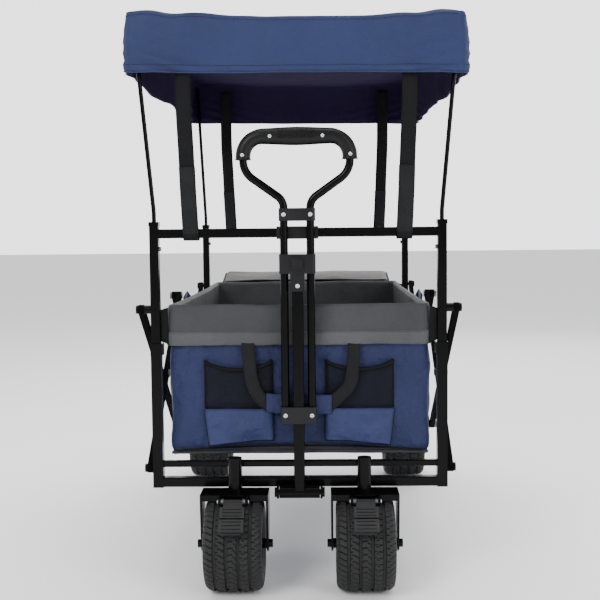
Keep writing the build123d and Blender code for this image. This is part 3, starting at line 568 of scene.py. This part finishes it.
def make_basket():
    around = 300
    inset = 0.003
    plan, total = rounded_plan(BASKET_HALF - inset, BASKET_HALF - inset, BASKET_Y0 + inset, BASKET_Y1 - inset,
                               0.018, around)

    def outer(u, v):
        p, n = plan[int(round(u * around)) % around]
        lift = 0.010 * (1 - (p.x / BASKET_HALF) ** 2) * end_share(p)
        low = BOTTOM_Z + lift
        z = low + (BAND_Z + 0.012 - low) * v
        tuck = 0.010 * max(0.0, 1 - v / 0.08) ** 2
        q = p + n * (basket_wall(p, z) - tuck)
        return Vector((q.x, q.y, z))

    shell = grid("basket_cloth", around, 44, outer, [BLUE, LINING], (total, BAND_Z - BOTTOM_Z), closed=True)
    thicken(shell, CLOTH, -1.0, 1)
    drape(shell, "blue_fabric", "basket_shell")

    def floor(u, v):
        x = (2 * u - 1) * (BASKET_HALF - 0.008)
        y = BASKET_Y0 + 0.008 + (BASKET_Y1 - BASKET_Y0 - 0.016) * v
        a = 2 * u - 1
        b = 2 * v - 1
        lift = 0.010 * (1 - a * a) * max(0.0, 1 - (1 - abs(b)) / 0.06)
        return Vector((x, y, BOTTOM_Z + 0.0015 + lift + wobble(x, y, 1, 0.08, 0.0012)))
    under = grid("basket_base_cloth", 24, 44, floor, [BLUE], (0.48, 0.84))
    thicken(under, CLOTH, 1.0)
    drape(under, "blue_fabric")

    def lining(u, v):
        p, n = plan[int(round(u * around)) % around]
        z = BOTTOM_Z + 0.006 + (RIM_Z - 0.004 - BOTTOM_Z - 0.006) * v
        inner = 0.0052 + 0.0012 * math.sin(math.pi * v) + wobble(p.x, p.y, z + 5, 0.06, 0.0012)
        q = p - n * inner
        return Vector((q.x, q.y, z))
    inside = grid("basket_lining", around, 36, lining, [LINING], (total, RIM_Z - BOTTOM_Z), closed=True)
    thicken(inside, CLOTH * 0.7, 0.0)
    drape(inside, "grey_fabric")

    def rim_height(p):
        dip = 0.004 * (1 - ((p.y - MID_Y) / (LENGTH / 2)) ** 2) * (1 - end_share(p))
        return RIM_Z - dip + wobble(p.x, p.y, 4, 0.09, 0.0018)

    # profile of the folded grey band: outside hem, outside face, over the rim, down the inside
    profile = [(0.0045, BAND_Z + 0.0005), (0.0068, BAND_Z + 0.004), (0.0072, HEM_Z - 0.003),
               (0.0050, HEM_Z), (0.0044, HEM_Z + 0.006), (0.0040, RIM_Z - 0.018), (0.0036, RIM_Z - 0.006),
               (0.0010, RIM_Z - 0.0005), (-0.0030, RIM_Z), (-0.0066, RIM_Z - 0.004),
               (-0.0080, RIM_Z - 0.012), (-0.0084, BAND_Z + 0.012), (-0.0080, BAND_Z)]
    line = smooth_line([(o, 0, z) for o, z in profile], 48)

    def band(u, v):
        p, n = plan[int(round(u * around)) % around]
        k = line[int(round(v * 48))]
        outside = 1.0 if v < 0.55 else 0.5
        slack = (wobble(p.x, p.y, k.z * 0.5, 0.06, 0.0030) + wobble(p.x, p.y, k.z, 0.022, 0.0008)) * outside
        hem_wave = wobble(p.x * 1.4, p.y * 1.4, 2, 0.1, 0.0022) * max(0.0, 1 - (k.z - BAND_Z) / 0.03)
        z = k.z + (rim_height(p) - RIM_Z) * max(0.0, (k.z - BAND_Z) / (RIM_Z - BAND_Z)) + hem_wave
        q = p + n * (k.x + slack * 0.8)
        return Vector((q.x, q.y, z))
    hem_row = 13 / 48
    band_obj = grid("rim_band_cloth", around, 48, band, [GREY, GREY_HEM], (total, 0.17), closed=True,
                    index=lambda u, v: 1 if v < hem_row else 0)
    thicken(band_obj, CLOTH, -1.0)
    drape(band_obj, "grey_fabric", "rim_band")
    for name, v, lift in (("band_hem_stitch", 2 / 48, 0.0002), ("band_upper_stitch", 12 / 48, 0.0002)):
        row = []
        for i in range(around + 1):
            q = band(i / around, v)
            n = plan[i % around][1]
            row.append(q + n * lift)
        drape(stitches(name, row, 0.0045, 0.003, THREAD_R, GREY_THREAD), "grey_fabric")

    def edge_line(y, z_of, out):
        points = []
        for i in range(61):
            x = (2 * i / 60 - 1) * (BASKET_HALF - 0.014)
            points.append(Vector((x, y + out, z_of(x))))
        return points
    for name, y, out in (("front_bottom_piping", BASKET_Y0, 0.0), ("rear_bottom_piping", BASKET_Y1, 0.0)):
        arch = edge_line(y, lambda x: BOTTOM_Z + 0.009 + 0.010 * (1 - (x / BASKET_HALF) ** 2), out)
        drape(tube(name, smooth_line(arch, 120), 0.0017, PIPING), "webbing")


def make_side_peaks():
    """Blue cloth that is drawn out over the middle top pivot on each side."""
    top = RIM_Z + 0.002
    for name, s in (("left", -1), ("right", 1)):
        def place(u, v, s=s):
            y = MID_Y + (2 * u - 1) * 0.20
            near = max(0.0, 1 - abs(2 * u - 1)) ** 1.3
            reach = 0.026 * near
            z_top = BAND_Z + 0.004 + (top - BAND_Z - 0.004) * near ** 0.8
            z = 0.36 + (z_top - 0.36) * v
            out = reach * v ** 1.6 + wobble(u, v, s, 0.3, 0.0015) * v
            lip = -0.012 * max(0.0, (v - 0.92) / 0.08) * near
            return Vector((s * (BASKET_HALF + 0.0055 + out + lip), y, z))
        cloth = grid(f"side_peak_{name}", 48, 24, place, [BLUE, BLUE], (0.40, 0.15))
        thicken(cloth, CLOTH, 0.0)
        drape(cloth, "blue_fabric")


def make_mat():
    low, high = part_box("floor_mat")
    panels = 4

    def place(u, v):
        x = low.x + (high.x - low.x) * u
        y = low.y + (high.y - low.y) * v
        a, b = 2 * u - 1, (v * panels) % 1.0 * 2 - 1
        crown = (1 - a ** 8) * (1 - b ** 8)
        return Vector((x, y, low.z + 0.002 + (high.z - low.z) * (0.25 + 0.75 * crown)
                       + wobble(x, y, 0, 0.09, 0.001)))
    obj = grid("floor_pad", 40, 80, place, [LINING], (0.476, 0.838))
    skirt = obj.modifiers.new("solid", "SOLIDIFY")
    skirt.thickness = 0.004
    skirt.offset = -1
    apply_all(obj)
    drape(obj, "grey_fabric", "floor_mat")


# ---- pockets and carry strap ----
def make_pockets():
    low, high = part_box("front_pockets")
    face = BASKET_Y0
    inner_x = 0.050
    depth = face - low.y
    for name, s in (("left", -1), ("right", 1)):
        x0, x1 = inner_x, high.x + 0.002
        top, split, bottom = high.z - 0.006, 0.329, low.z

        def lip(u):
            return top - 0.017 * math.sin(math.pi * u) ** 0.6

        def net(u, v, s=s):
            x = x0 + (x1 - x0) * u
            z = split - 0.012 + (lip(u) - split + 0.012) * v
            side = math.sin(math.pi * max(0.0, min(1.0, u))) ** 0.45
            out = 0.0015 + (depth - 0.002) * side * (0.75 + 0.25 * (1 - v))
            out += wobble(x * s, z, 2, 0.035, 0.0022) * side
            return Vector((s * x, face - out, z))
        mesh = grid(f"pocket_net_{name}", 40, 26, net, [NET], (x1 - x0, top - split))
        thicken(mesh, 0.0006, 0.0)
        drape(mesh, "blue_fabric", "front_pockets")
        rim = [net(i / 60, 1.0) + Vector((0, -0.0008, 0)) for i in range(61)]
        drape(tube(f"pocket_elastic_{name}", rim, 0.0036, PIPING), "webbing")
        for edge, u in (("inner", 0.0), ("outer", 1.0)):
            side_line = [net(u, j / 20) for j in range(21)]
            drape(tube(f"pocket_{edge}_binding_{name}", side_line, 0.0016, PIPING, sides=8), "webbing")

        def pouch(u, v, s=s):
            x = x0 - 0.002 + (x1 - x0 + 0.004) * u
            sweep_up = 0.010 * (1 - u)
            z_low = bottom + 0.004 * math.sin(math.pi * u) - 0.006 + sweep_up
            z = z_low + (split - z_low) * v
            side = math.sin(math.pi * max(0.0, min(1.0, u))) ** 0.3
            belly = 0.45 + 0.55 * math.sin(math.pi * min(1.0, v * 0.85 + 0.10))
            x -= 0.008 * (1 - v) * u
            out = 0.0012 + (depth + 0.011) * side * belly
            out += wobble(x * s, z * 1.5, 6, 0.035, 0.0065) * side
            out += 0.0022 * side * math.sin(70 * x + 45 * z)
            return Vector((s * x, face - out, z))
        body = grid(f"pocket_pouch_{name}", 40, 24, pouch, [POUCH_PAINTED_LIGHT], (x1 - x0, split - bottom))
        thicken(body, CLOTH, 0.0)
        drape(body, "blue_fabric")
        # Dark bead along the pouch's sides and bottom: painted shadow round its edges.
        outline = [pouch(0, 1 - i / 20) for i in range(21)] + [pouch(i / 60, 0) for i in range(61)]
        outline += [pouch(1, i / 20) for i in range(21)]
        outline = [q + Vector((0, -0.0004, 0)) for q in outline]
        drape(tube(f"pocket_shadow_line_{name}", outline, 0.0013, NAVY_PAINTED_SHADOW, sides=8), "blue_fabric")
        seam = [pouch(i / 60, 1.0) + Vector((0, -0.0005, 0)) for i in range(61)]
        drape(tube(f"pocket_seam_{name}", seam, 0.0014, BLUE, sides=8), "blue_fabric")


def make_carry_strap():
    """Webbing loops down the front panel that meet in a padded wrap behind the pull handle."""
    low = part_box("carry_strap")[0]
    y = low.y - 0.0004
    width = 0.0235
    wrap_z = 0.340
    for name, s in (("left", -1), ("right", 1)):
        top_x = 0.094 if s < 0 else 0.103
        points = smooth_line([(s * top_x, BASKET_Y0 - 0.0012, BAND_Z + 0.007),
                              (s * (top_x - 0.003), y, 0.415), (s * (top_x - 0.009), y - 0.001, 0.376),
                              (s * 0.071, y, wrap_z + 0.010),
                              (s * 0.054, y + 0.0005, wrap_z - 0.004)], 48)
        widths = []
        for k in range(len(points)):
            a, b = points[max(k - 1, 0)], points[min(k + 1, len(points) - 1)]
            along = (b - a).normalized()
            widths.append(along.cross(Vector((0, 1, 0))))
        strap = ribbon(f"carry_strap_{name}", points, width, 0.0022, CARRY_WEB, widths)
        drape(strap, "webbing", "carry_strap")

    def sleeve(u, v):
        x = (2 * u - 1) * 0.060
        turn = 2 * math.pi * v
        flat = math.copysign(abs(math.sin(turn)) ** 0.55, math.sin(turn))
        deep = math.copysign(abs(math.cos(turn)) ** 0.7, math.cos(turn))
        sag = -0.003 * (1 - (2 * u - 1) ** 2) - 0.006 * (2 * u - 1) * 0.3
        z = wrap_z + sag + 0.0180 * flat + wobble(u, v, 1, 0.25, 0.0012)
        return Vector((x, y - 0.0004 + (0.0034 + wobble(x, z, 2, 0.02, 0.0009)) * deep, z))
    wrap = grid("strap_wrap", 32, 24, lambda u, v: sleeve(u, v % 1.0), [BLUE], (0.124, 0.08))
    weld(wrap)
    drape(wrap, "blue_fabric")


def weld(obj, distance=0.00005):
    mesh = bmesh.new()
    mesh.from_mesh(obj.data)
    bmesh.ops.remove_doubles(mesh, verts=mesh.verts, dist=distance)
    bmesh.ops.holes_fill(mesh, edges=mesh.edges, sides=64)
    mesh.to_mesh(obj.data)
    mesh.free()


# ---- canopy straps and corner tabs ----
def make_canopy_straps():
    for end, y, body in (("front", FRONT_Y, FRONT), ("rear", REAR_Y, REAR)):
        bar_low, bar_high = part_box(f"{end}_high_crossbar")
        bar_z = (bar_low.z + bar_high.z) / 2
        half = (bar_high.z - bar_low.z) / 2 + 0.0018
        for name, s in (("left", -1), ("right", 1)):
            x0, x1 = s * 0.196, s * 0.206
            width = 0.0285
            top = CANOPY_HIGH.z - 0.024
            yf = y - half
            line = [(x1, y - 0.004, top), (x1, yf + 0.001, 0.90),
                    (x0 + s * 0.006, yf - 0.0008, 0.80), (x0 + s * 0.003, yf - 0.0004, 0.72),
                    (x0, yf - 0.0006, bar_z + half), (x0, yf, bar_z),
                    (x0, yf + 0.002, bar_z - half)]
            points = smooth_line(line, 90)
            attach(ribbon(f"{end}_strap_{name}", points, width, 0.0016, WEB), body, "webbing",
                   f"{end}_canopy_straps")
            loop = []
            for k in range(21):
                turn = math.radians(200 - 220 * k / 20)
                out, rise = math.cos(turn) * half * 1.25, math.sin(turn) * half * 1.2
                loop.append(Vector((x0, y + out, bar_z - rise)))
            attach(ribbon(f"{end}_strap_loop_{name}", loop, width, 0.0016, WEB), body, "webbing")
            patch_top = 0.775 if end == "front" else 0.762
            patch = smooth_line([(x0 + s * 0.0045, yf - 0.0038, patch_top),
                                 (x0 + s * 0.003, yf - 0.0042, 0.73), (x0, yf - 0.0036, bar_z + half),
                                 (x0, yf - 0.0024, bar_z)], 40)
            attach(ribbon(f"{end}_strap_patch_{name}", patch, width * 1.04, 0.0018, LOOP_WEB), body,
                   "webbing")


def make_tabs():
    """Black cloth tabs that button the rim band to the posts."""
    post_inner = abs(POST_LOW.x) - 0.0186
    for end, y, body in (("front", FRONT_Y, FRONT), ("rear", REAR_Y, REAR)):
        for name, s in (("left", -1), ("right", 1)):
            def place(u, v, s=s, y=y):
                x = BASKET_HALF - 0.001 + (post_inner - BASKET_HALF + 0.002) * u
                pinch = 1 - 0.15 * u
                z = 0.484 + (2 * v - 1) * 0.034 * pinch
                return Vector((s * x, y - 0.006 + 0.0015 * math.sin(math.pi * v) + 0.004 * u, z))
            tab = grid(f"{end}_corner_tab_{name}", 10, 12, place, [WEB], (0.02, 0.04))
            thicken(tab, 0.003, 0.0)
            attach(tab, body, "webbing")


# ---- rear bag ----
def make_bag():
    low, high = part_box("rear_bag")
    lid_low, lid_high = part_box("rear_bag_lid")
    around = 160
    plan, total = rounded_plan(high.x - 0.003, high.x - 0.003, low.y + 0.002, high.y - 0.004, 0.02, around)
    centre = Vector((0, (low.y + high.y) / 2, 0))
    mouth_front, mouth_rear = lid_low.z, high.z

    def place(u, v):
        p, n = plan[int(round(u * around)) % around]
        mouth = mouth_front + (mouth_rear - mouth_front) * (p.y - low.y) / (high.y - low.y)
        z = low.z + (mouth - 0.002 - low.z) * v
        swell = 0.006 * math.sin(math.pi * v) * (1 if p.y > centre.y else 0.3)
        tuck = 0.018 * max(0.0, 1 - v / 0.07) ** 2
        q = p + n * (swell - tuck + wobble(p.x, p.y, z * 0.6, 0.06, 0.003))
        return Vector((q.x, q.y, z))
    bag = grid("rear_bag_cloth", around, 36, place, [BLUE, LINING], (total, high.z - low.z), closed=True)
    thicken(bag, CLOTH, -1.0, 1)
    attach(bag, REAR, "blue_fabric", "rear_bag")

    def base(u, v):
        k = plan[int(round(u * around)) % around][0]
        q = centre.lerp(k, max(0.001, v) * 0.93)
        return Vector((q.x, q.y, low.z + 0.001 + wobble(q.x, q.y, 0, 0.05, 0.001)))
    bottom = grid("rear_bag_base", around, 8, base, [BLUE], (total, 0.1), closed=True)
    weld(bottom, 0.0002)
    thicken(bottom, CLOTH, 0.0)
    attach(bottom, REAR, "blue_fabric")

    def lid(u, v):
        x = lid_low.x + (lid_high.x - lid_low.x) * u
        y = lid_low.y + 0.001 + (lid_high.y - lid_low.y + 0.003) * v
        a = 2 * u - 1
        dome = 0.005 * (1 - a * a) * math.sin(math.pi * min(1, v + 0.1))
        rise = lid_low.z + 0.0045 + (lid_high.z - lid_low.z - 0.0045) * v
        drop = -0.010 * max(0.0, (v - 0.9) / 0.1) ** 2 - 0.006 * max(0.0, (abs(a) - 0.96) / 0.04) ** 2
        z = rise + dome + drop + wobble(x, y, 0, 0.07, 0.002)
        return Vector((x * (1 + 0.004 * max(0.0, drop * -50)), y, z))
    cover = grid("bag_lid_cloth", 60, 24, lid, [LID_GREY], (0.444, 0.1))
    thicken(cover, CLOTH, -1.0)
    attach(cover, "bag_lid", "grey_fabric", "rear_bag_lid")
    edge = [lid(0, 0.12 + 0.88 * i / 20) for i in range(21)] + [lid(i / 60, 1) for i in range(61)]
    edge += [lid(1, 1 - 0.88 * i / 20) for i in range(21)]
    attach(tube("bag_lid_piping", edge, 0.0026, PIPING), "bag_lid", "webbing")


# ---- wheels ----
def tread(obj_name, node, body):
    """Wide tyre with four grooves round it and wavy sipes across its ribs."""
    low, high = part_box(node)
    cx, cy, cz = (low.x + high.x) / 2, (low.y + high.y) / 2, (low.z + high.z) / 2
    radius, half = (high.z - low.z) / 2, (high.x - low.x) / 2
    blocks, per_block = 46, 8
    around = blocks * per_block
    lines = [-1.5, -0.5, 0.5, 1.5]
    pitch = 2 * half / 5
    groove_half = 0.0022
    stations = [-1.0]
    for g in lines:
        centre = g * pitch / half
        for d in (-groove_half - 0.0012, -groove_half, groove_half, groove_half + 0.0012):
            stations.append(centre + d / half)
    stations += [k / 26 * 1.9 - 0.95 for k in range(27)] + [1.0, -0.975, 0.975]
    stations = sorted(set(round(s, 5) for s in stations))
    kept = [stations[0]]
    for s in stations[1:]:
        if s - kept[-1] > 0.006:
            kept.append(s)
    shoulder = 0.013

    def section(a):
        x = a * half
        edge = max(0.0, abs(x) - (half - shoulder))
        r = radius - 0.0022 * a * a - (shoulder - math.sqrt(max(0.0, shoulder ** 2 - edge ** 2)))
        return x, r

    verts, faces, uvs = [], [], []
    rim_r = [radius * 0.80, radius * 0.68, radius * 0.60]
    columns = []
    for k, rr in enumerate(reversed(rim_r)):
        columns.append((-half + (0.006, 0.0015, 0.0)[k], rr, None))
    for a in kept:
        x, r = section(a)
        columns.append((x, r, a))
    for k, rr in enumerate(rim_r):
        columns.append((half - (0.0, 0.0015, 0.006)[k], rr, None))
    for j in range(around):
        for x, r, a in columns:
            rr = r
            turn = 2 * math.pi * j / around
            if a is not None:
                grooved = any(abs(a * half - g * pitch) <= groove_half + 0.0001 for g in lines)
                wavy = 0.9 * math.sin(a * 9.0 + 0.6) + 0.35 * math.sin(a * 23)
                phase = (j / per_block + wavy) % 1.0
                near_edge = abs(a) > 0.93
                if grooved:
                    rr -= GROOVE_DEPTH
                elif phase < 0.13 or (near_edge and phase < 0.2):
                    rr -= SIPE_DEPTH
            verts.append(Vector((cx + x, cy + rr * math.cos(turn), cz + rr * math.sin(turn))))
            uvs.append((turn * radius, x))
    width = len(columns)
    for j in range(around):
        k = (j + 1) % around
        for i in range(width - 1):
            faces.append((j * width + i, j * width + i + 1, k * width + i + 1, k * width + i))
    for j in range(around):
        k = (j + 1) % around
        faces.append((j * width + width - 1, j * width, k * width, k * width + width - 1))
    obj = new_object(obj_name, verts, faces, [RUBBER], uvs, smooth=False)
    bmesh_fix(obj)
    attach(obj, body, "tyre_rubber", node)
    return obj


def bmesh_fix(obj):
    mesh = bmesh.new()
    mesh.from_mesh(obj.data)
    bmesh.ops.recalc_face_normals(mesh, faces=mesh.faces)
    mesh.to_mesh(obj.data)
    mesh.free()


def wheel_centre(name, node, body):
    """Moulded wheel centre with a dished web, ribs and a hub cap on each side."""
    low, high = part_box(node)
    cx, cy, cz = (low.x + high.x) / 2, (low.y + high.y) / 2, (low.z + high.z) / 2
    radius, half = (high.z - low.z) / 2 + 0.0008, (high.x - low.x) / 2
    bore = 0.0056
    around, ribs = 160, 8
    profile = [(radius, half - 0.001), (radius - 0.003, half), (radius - 0.005, half - 0.001),
               (radius - 0.008, half - 0.010), (radius - 0.016, half - 0.013), (0.024, half - 0.014),
               (0.019, half - 0.011), (0.016, half - 0.002), (0.014, half - 0.0005), (bore, half - 0.0005)]
    verts = []
    rows = [(r, x) for r, x in profile] + [(r, -x) for r, x in reversed(profile)]
    for r, x in rows:
        for j in range(around):
            turn = 2 * math.pi * j / around
            rib = max(0.0, 1 - abs((j * ribs / around) % 1.0 - 0.5) / 0.11)
            lift = 0.0
            if 0.018 < r < radius - 0.007:
                lift = min(1.0, rib * 3) * 0.0075
            xx = x + lift * (1 if x > 0 else -1)
            verts.append(Vector((cx + xx, cy + r * math.cos(turn), cz + r * math.sin(turn))))
    obj = new_object(name, verts, ring_faces(len(rows), around, closed=True), [PLASTIC], smooth=False)
    bmesh_fix(obj)
    attach(obj, body, "hub_plastic", node)


def make_wheels():
    for side in ("left", "right"):
        for end in ("castor", "rear"):
            body = f"castor_wheel_{side}" if end == "castor" else f"rear_wheel_{side}"
            tread(f"{end}_tread_{side}", f"{end}_tyre_{side}", body)
            wheel_centre(f"{end}_wheel_centre_{side}", f"{end}_hub_{side}", body)


# ---- screws, springs and ribs ----
def screw(name, x, y, z, radius, body, axis="y", out=-1, material=None):
    """Domed cross-head screw."""
    around = 24
    verts = []
    profile = [(radius, 0.0), (radius, 0.0008), (radius * 0.85, 0.0017), (radius * 0.45, 0.0022),
               (radius * 0.2, 0.0023)]
    for r, h in profile:
        for j in range(around):
            turn = 2 * math.pi * j / around
            cross = r < radius * 0.6 and (j % (around // 4)) < 2
            depth = 0.0010 if cross else 0.0
            verts.append((r * math.cos(turn), r * math.sin(turn), h - depth))
    top = len(verts)
    verts.append((0, 0, 0.0012))
    faces = ring_faces(len(profile), around)
    last = (len(profile) - 1) * around
    for j in range(around):
        faces.append((last + j, last + (j + 1) % around, top))
    faces.append(tuple(range(around))[::-1])
    turned = []
    for a, b, h in verts:
        if axis == "y":
            turned.append(Vector((x + a, y + out * h, z + b * -out)))
        else:
            turned.append(Vector((x + out * h, y + a, z + b)))
    obj = new_object(name, turned, faces, [material or ZINC])
    bmesh_fix(obj)
    attach(obj, body, "zinc_steel")


def coil(name, x0, x1, y, z, radius, wire, turns, body):
    points = []
    count = turns * 14
    for k in range(count + 1):
        turn = 2 * math.pi * turns * k / count
        points.append((x0 + (x1 - x0) * k / count, y + radius * math.cos(turn), z + radius * math.sin(turn)))
    obj = tube(name, points, wire, DULL, sides=6)
    attach(obj, body, "zinc_steel")


def make_grip():
    """Soft grip that thickens towards the fingers in the middle of its bar."""
    low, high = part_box("handle_grip")
    r = (high.y - low.y) / 2
    cy = (low.y + high.y) / 2
    hx, top, end = high.x - r, high.z - r, low.z
    corner = 0.036
    path = [Vector((-hx, cy, end + (top - corner - end) * i / 6)) for i in range(7)]
    for i in range(1, 15):
        turn = math.radians(180 - 90 * i / 14)
        x, z = -hx + corner + corner * math.cos(turn), top - corner + corner * math.sin(turn)
        path.append(Vector((x, cy, z)))
    for i in range(1, 40):
        path.append(Vector((-hx + corner + 2 * (hx - corner) * i / 40, cy, top)))
    path += [Vector((-p.x, p.y, p.z)) for p in reversed(path[:21])]
    verts, uvs = [], []
    sides, count = 32, len(path)
    run = 0.0
    for k, p in enumerate(path):
        a, b = path[max(k - 1, 0)], path[min(k + 1, count - 1)]
        along = (b - a).normalized()
        inner = Vector((along.z, 0, -along.x))
        run += (p - path[k - 1]).length if k else 0.0
        middle = math.exp(-(p.x / 0.050) ** 2) if p.z > top - 0.002 else 0.0
        rise = 0.0016 * middle
        lip = 0.0012 if min(k, count - 1 - k) < 2 else 0.0
        for i in range(sides):
            turn = 2 * math.pi * i / sides
            towards = math.cos(turn)
            swell = (0.36 if towards > 0 else 0.10) * middle
            reach = (r - 0.0006 + lip) * (1 + swell * abs(towards))
            q = p + inner * reach * towards + Vector((0, (r - 0.0006 + lip) * math.sin(turn), rise))
            verts.append(q)
            uvs.append((run, r * turn))
    faces = ring_faces(count, sides)
    faces.append(tuple(range(sides))[::-1])
    faces.append(tuple((count - 1) * sides + i for i in range(sides)))
    grip = new_object("soft_grip", verts, faces, [GRIP], uvs)
    bmesh_fix(grip)
    attach(grip, "handle_slide", "grip_rubber", "handle_grip")


def make_hardware():
    grip_low, grip_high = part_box("handle_grip")
    front = grip_low.y
    hy = (grip_low.y + grip_high.y) / 2
    bar_z = grip_high.z - (grip_high.y - grip_low.y) / 2
    bar_screws = [(s * 0.047, bar_z - 0.001) for s in (-1, 1)]
    end_screws = [(s * 0.0965, grip_low.z + 0.008) for s in (-1, 1)]
    for k, (x, z) in enumerate(bar_screws + end_screws):
        screw(f"grip_screw_{k}", x, front - 0.0003, z, 0.0036, "handle_slide")
    for k in range(19):
        x = (k - 9) * 0.0036
        points = []
        for j in range(13):
            turn = math.radians(200 - 130 * j / 12)
            r = (grip_high.y - grip_low.y) / 2 + 0.0004
            points.append((x, hy + r * math.cos(turn), bar_z + r * math.sin(turn)))
        attach(tube(f"grip_rib_{k:02d}", points, 0.0009, GRIP, sides=6), "handle_slide", "grip_rubber")
    for name in ("top_bracket", "low_bracket"):
        low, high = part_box(f"handle_{name}")
        for k, x in enumerate((-0.024, 0.024)):
            screw(f"{name}_screw_{k}", x, low.y, (low.z + high.z) / 2, SCREW_R, "handle_slide")
    lock_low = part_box("handle_lock_housing")[0]
    screw("clevis_screw", 0, hy - 0.013, lock_low.z + 0.010, SCREW_R, "handle")
    latch_low, latch_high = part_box("handle_latch_button")
    for k, x in enumerate((-0.006, 0.006)):
        reach = latch_high.z - latch_low.z - 0.006
        points = [(x, latch_low.y - 0.0001, latch_low.z + 0.003 + reach * i / 8) for i in range(9)]
        attach(tube(f"latch_rib_{k}", points, 0.0011, DARK_PLASTIC, sides=8), "handle_latch", "mould_plastic")
    for side, s in (("left", -1), ("right", 1)):
        low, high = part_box(f"brake_pedal_{side}")
        cx = (low.x + high.x) / 2
        hinge_y, hinge_z = high.y - 0.0042, high.z - 0.0042
        slope = math.radians(36)
        for k, t in enumerate((-1, 1)):
            a, b = cx + t * 0.0172, cx + t * 0.0222
            coil(f"brake_spring_{side}_{k}", a, b, hinge_y, hinge_z, 0.0052, 0.0008, 4, f"brake_pedal_{side}")
            screw(f"brake_pin_end_{side}_{k}", cx + t * 0.0270, hinge_y, hinge_z, 0.0040,
                  f"brake_pedal_{side}", axis="x", out=t)
        for k, back in enumerate((0.023, 0.030, 0.037, 0.050, 0.058, 0.066)):
            lift = 0.0079
            y = hinge_y - math.cos(slope) * back + math.sin(slope) * -lift
            z = hinge_z - math.sin(slope) * back + math.cos(slope) * lift
            points = [(cx + (i / 8 - 0.5) * 0.034, y, z) for i in range(9)]
            rib = tube(f"pedal_rib_{side}_{k}", points, 0.0010, DARK_PLASTIC, sides=6)
            attach(rib, f"brake_pedal_{side}", "mould_plastic")


# ---- stage ----
def make_stage():
    mesh = bpy.data.meshes.new("floor")
    reach = 30.0
    corners = [(-reach, -reach, 0), (reach, -reach, 0), (reach, reach, 0), (-reach, reach, 0)]
    mesh.from_pydata(corners, [], [(0, 1, 2, 3)])
    floor = bpy.data.objects.new("floor", mesh)
    bpy.context.scene.collection.objects.link(floor)
    look = Look("pale_floor", 0.9)
    stops = ((0.0, (0.93, 0.93, 0.935)), (1.0, (0.96, 0.96, 0.96)))
    tone = ramp(look.nodes, look.links, look.noise(3.0), stops)
    look.links.new(tone, look.shader.inputs["Base Color"])
    mesh.materials.append(look.material)
    world = bpy.data.worlds.new("studio")
    world.use_nodes = True
    nodes, links = world.node_tree.nodes, world.node_tree.links
    backdrop = nodes["Background"]
    coords = nodes.new("ShaderNodeTexCoord")
    split = nodes.new("ShaderNodeSeparateXYZ")
    links.new(coords.outputs["Generated"], split.inputs["Vector"])
    tone = ramp(nodes, links, split.outputs["Y"], ((0.0, (0.22, 0.22, 0.225)), (0.8, (1.0, 1.0, 1.0))))
    links.new(tone, backdrop.inputs["Color"])
    backdrop.inputs["Strength"].default_value = 2.6
    bpy.context.scene.world = world
    for name, place, size, power in (("key", (-1.9, -3.1, 2.7), 1.6, 95), ("fill", (2.5, -2.7, 1.5), 1.8, 55),
                                     ("top", (0.2, 0.4, 3.4), 2.6, 110), ("back", (1.2, 3.4, 2.2), 2.2, 30)):
        data = bpy.data.lights.new(name, "AREA")
        data.size = size
        data.energy = power
        light = bpy.data.objects.new(name, data)
        light.location = place
        aim = Vector((0, 0, 0.5)) - Vector(place)
        light.rotation_euler = aim.to_track_quat("-Z", "Y").to_euler()
        bpy.context.scene.collection.objects.link(light)


def make_camera():
    """Eye level with the high crossbar, a little to the right and looking slightly down."""
    data = bpy.data.cameras.new("camera")
    data.sensor_width = 36.0
    data.lens = 60.04
    camera = bpy.data.objects.new("camera", data)
    bpy.context.scene.collection.objects.link(camera)
    pitch, yaw, roll = math.radians(3.906), math.radians(1.298), math.radians(-0.58)
    level = Vector((-math.sin(yaw), math.cos(yaw), 0))
    right = Vector((math.cos(yaw), math.sin(yaw), 0))
    look = level * math.cos(pitch) - Vector((0, 0, math.sin(pitch)))
    up = level * math.sin(pitch) + Vector((0, 0, math.cos(pitch)))
    right_rolled = right * math.cos(roll) + up * math.sin(roll)
    up_rolled = up * math.cos(roll) - right * math.sin(roll)
    turn = Matrix((right_rolled, up_rolled, -look)).transposed()
    camera.matrix_world = Matrix.Translation((0.045, FRONT_Y - 1.8467, 0.6555)) @ turn.to_4x4()
    bpy.context.scene.camera = camera


dress_cad()
make_canopy()
make_basket()
make_side_peaks()
make_mat()
make_pockets()
make_carry_strap()
make_canopy_straps()
make_tabs()
make_bag()
make_wheels()
make_grip()
make_hardware()
make_stage()
make_camera()
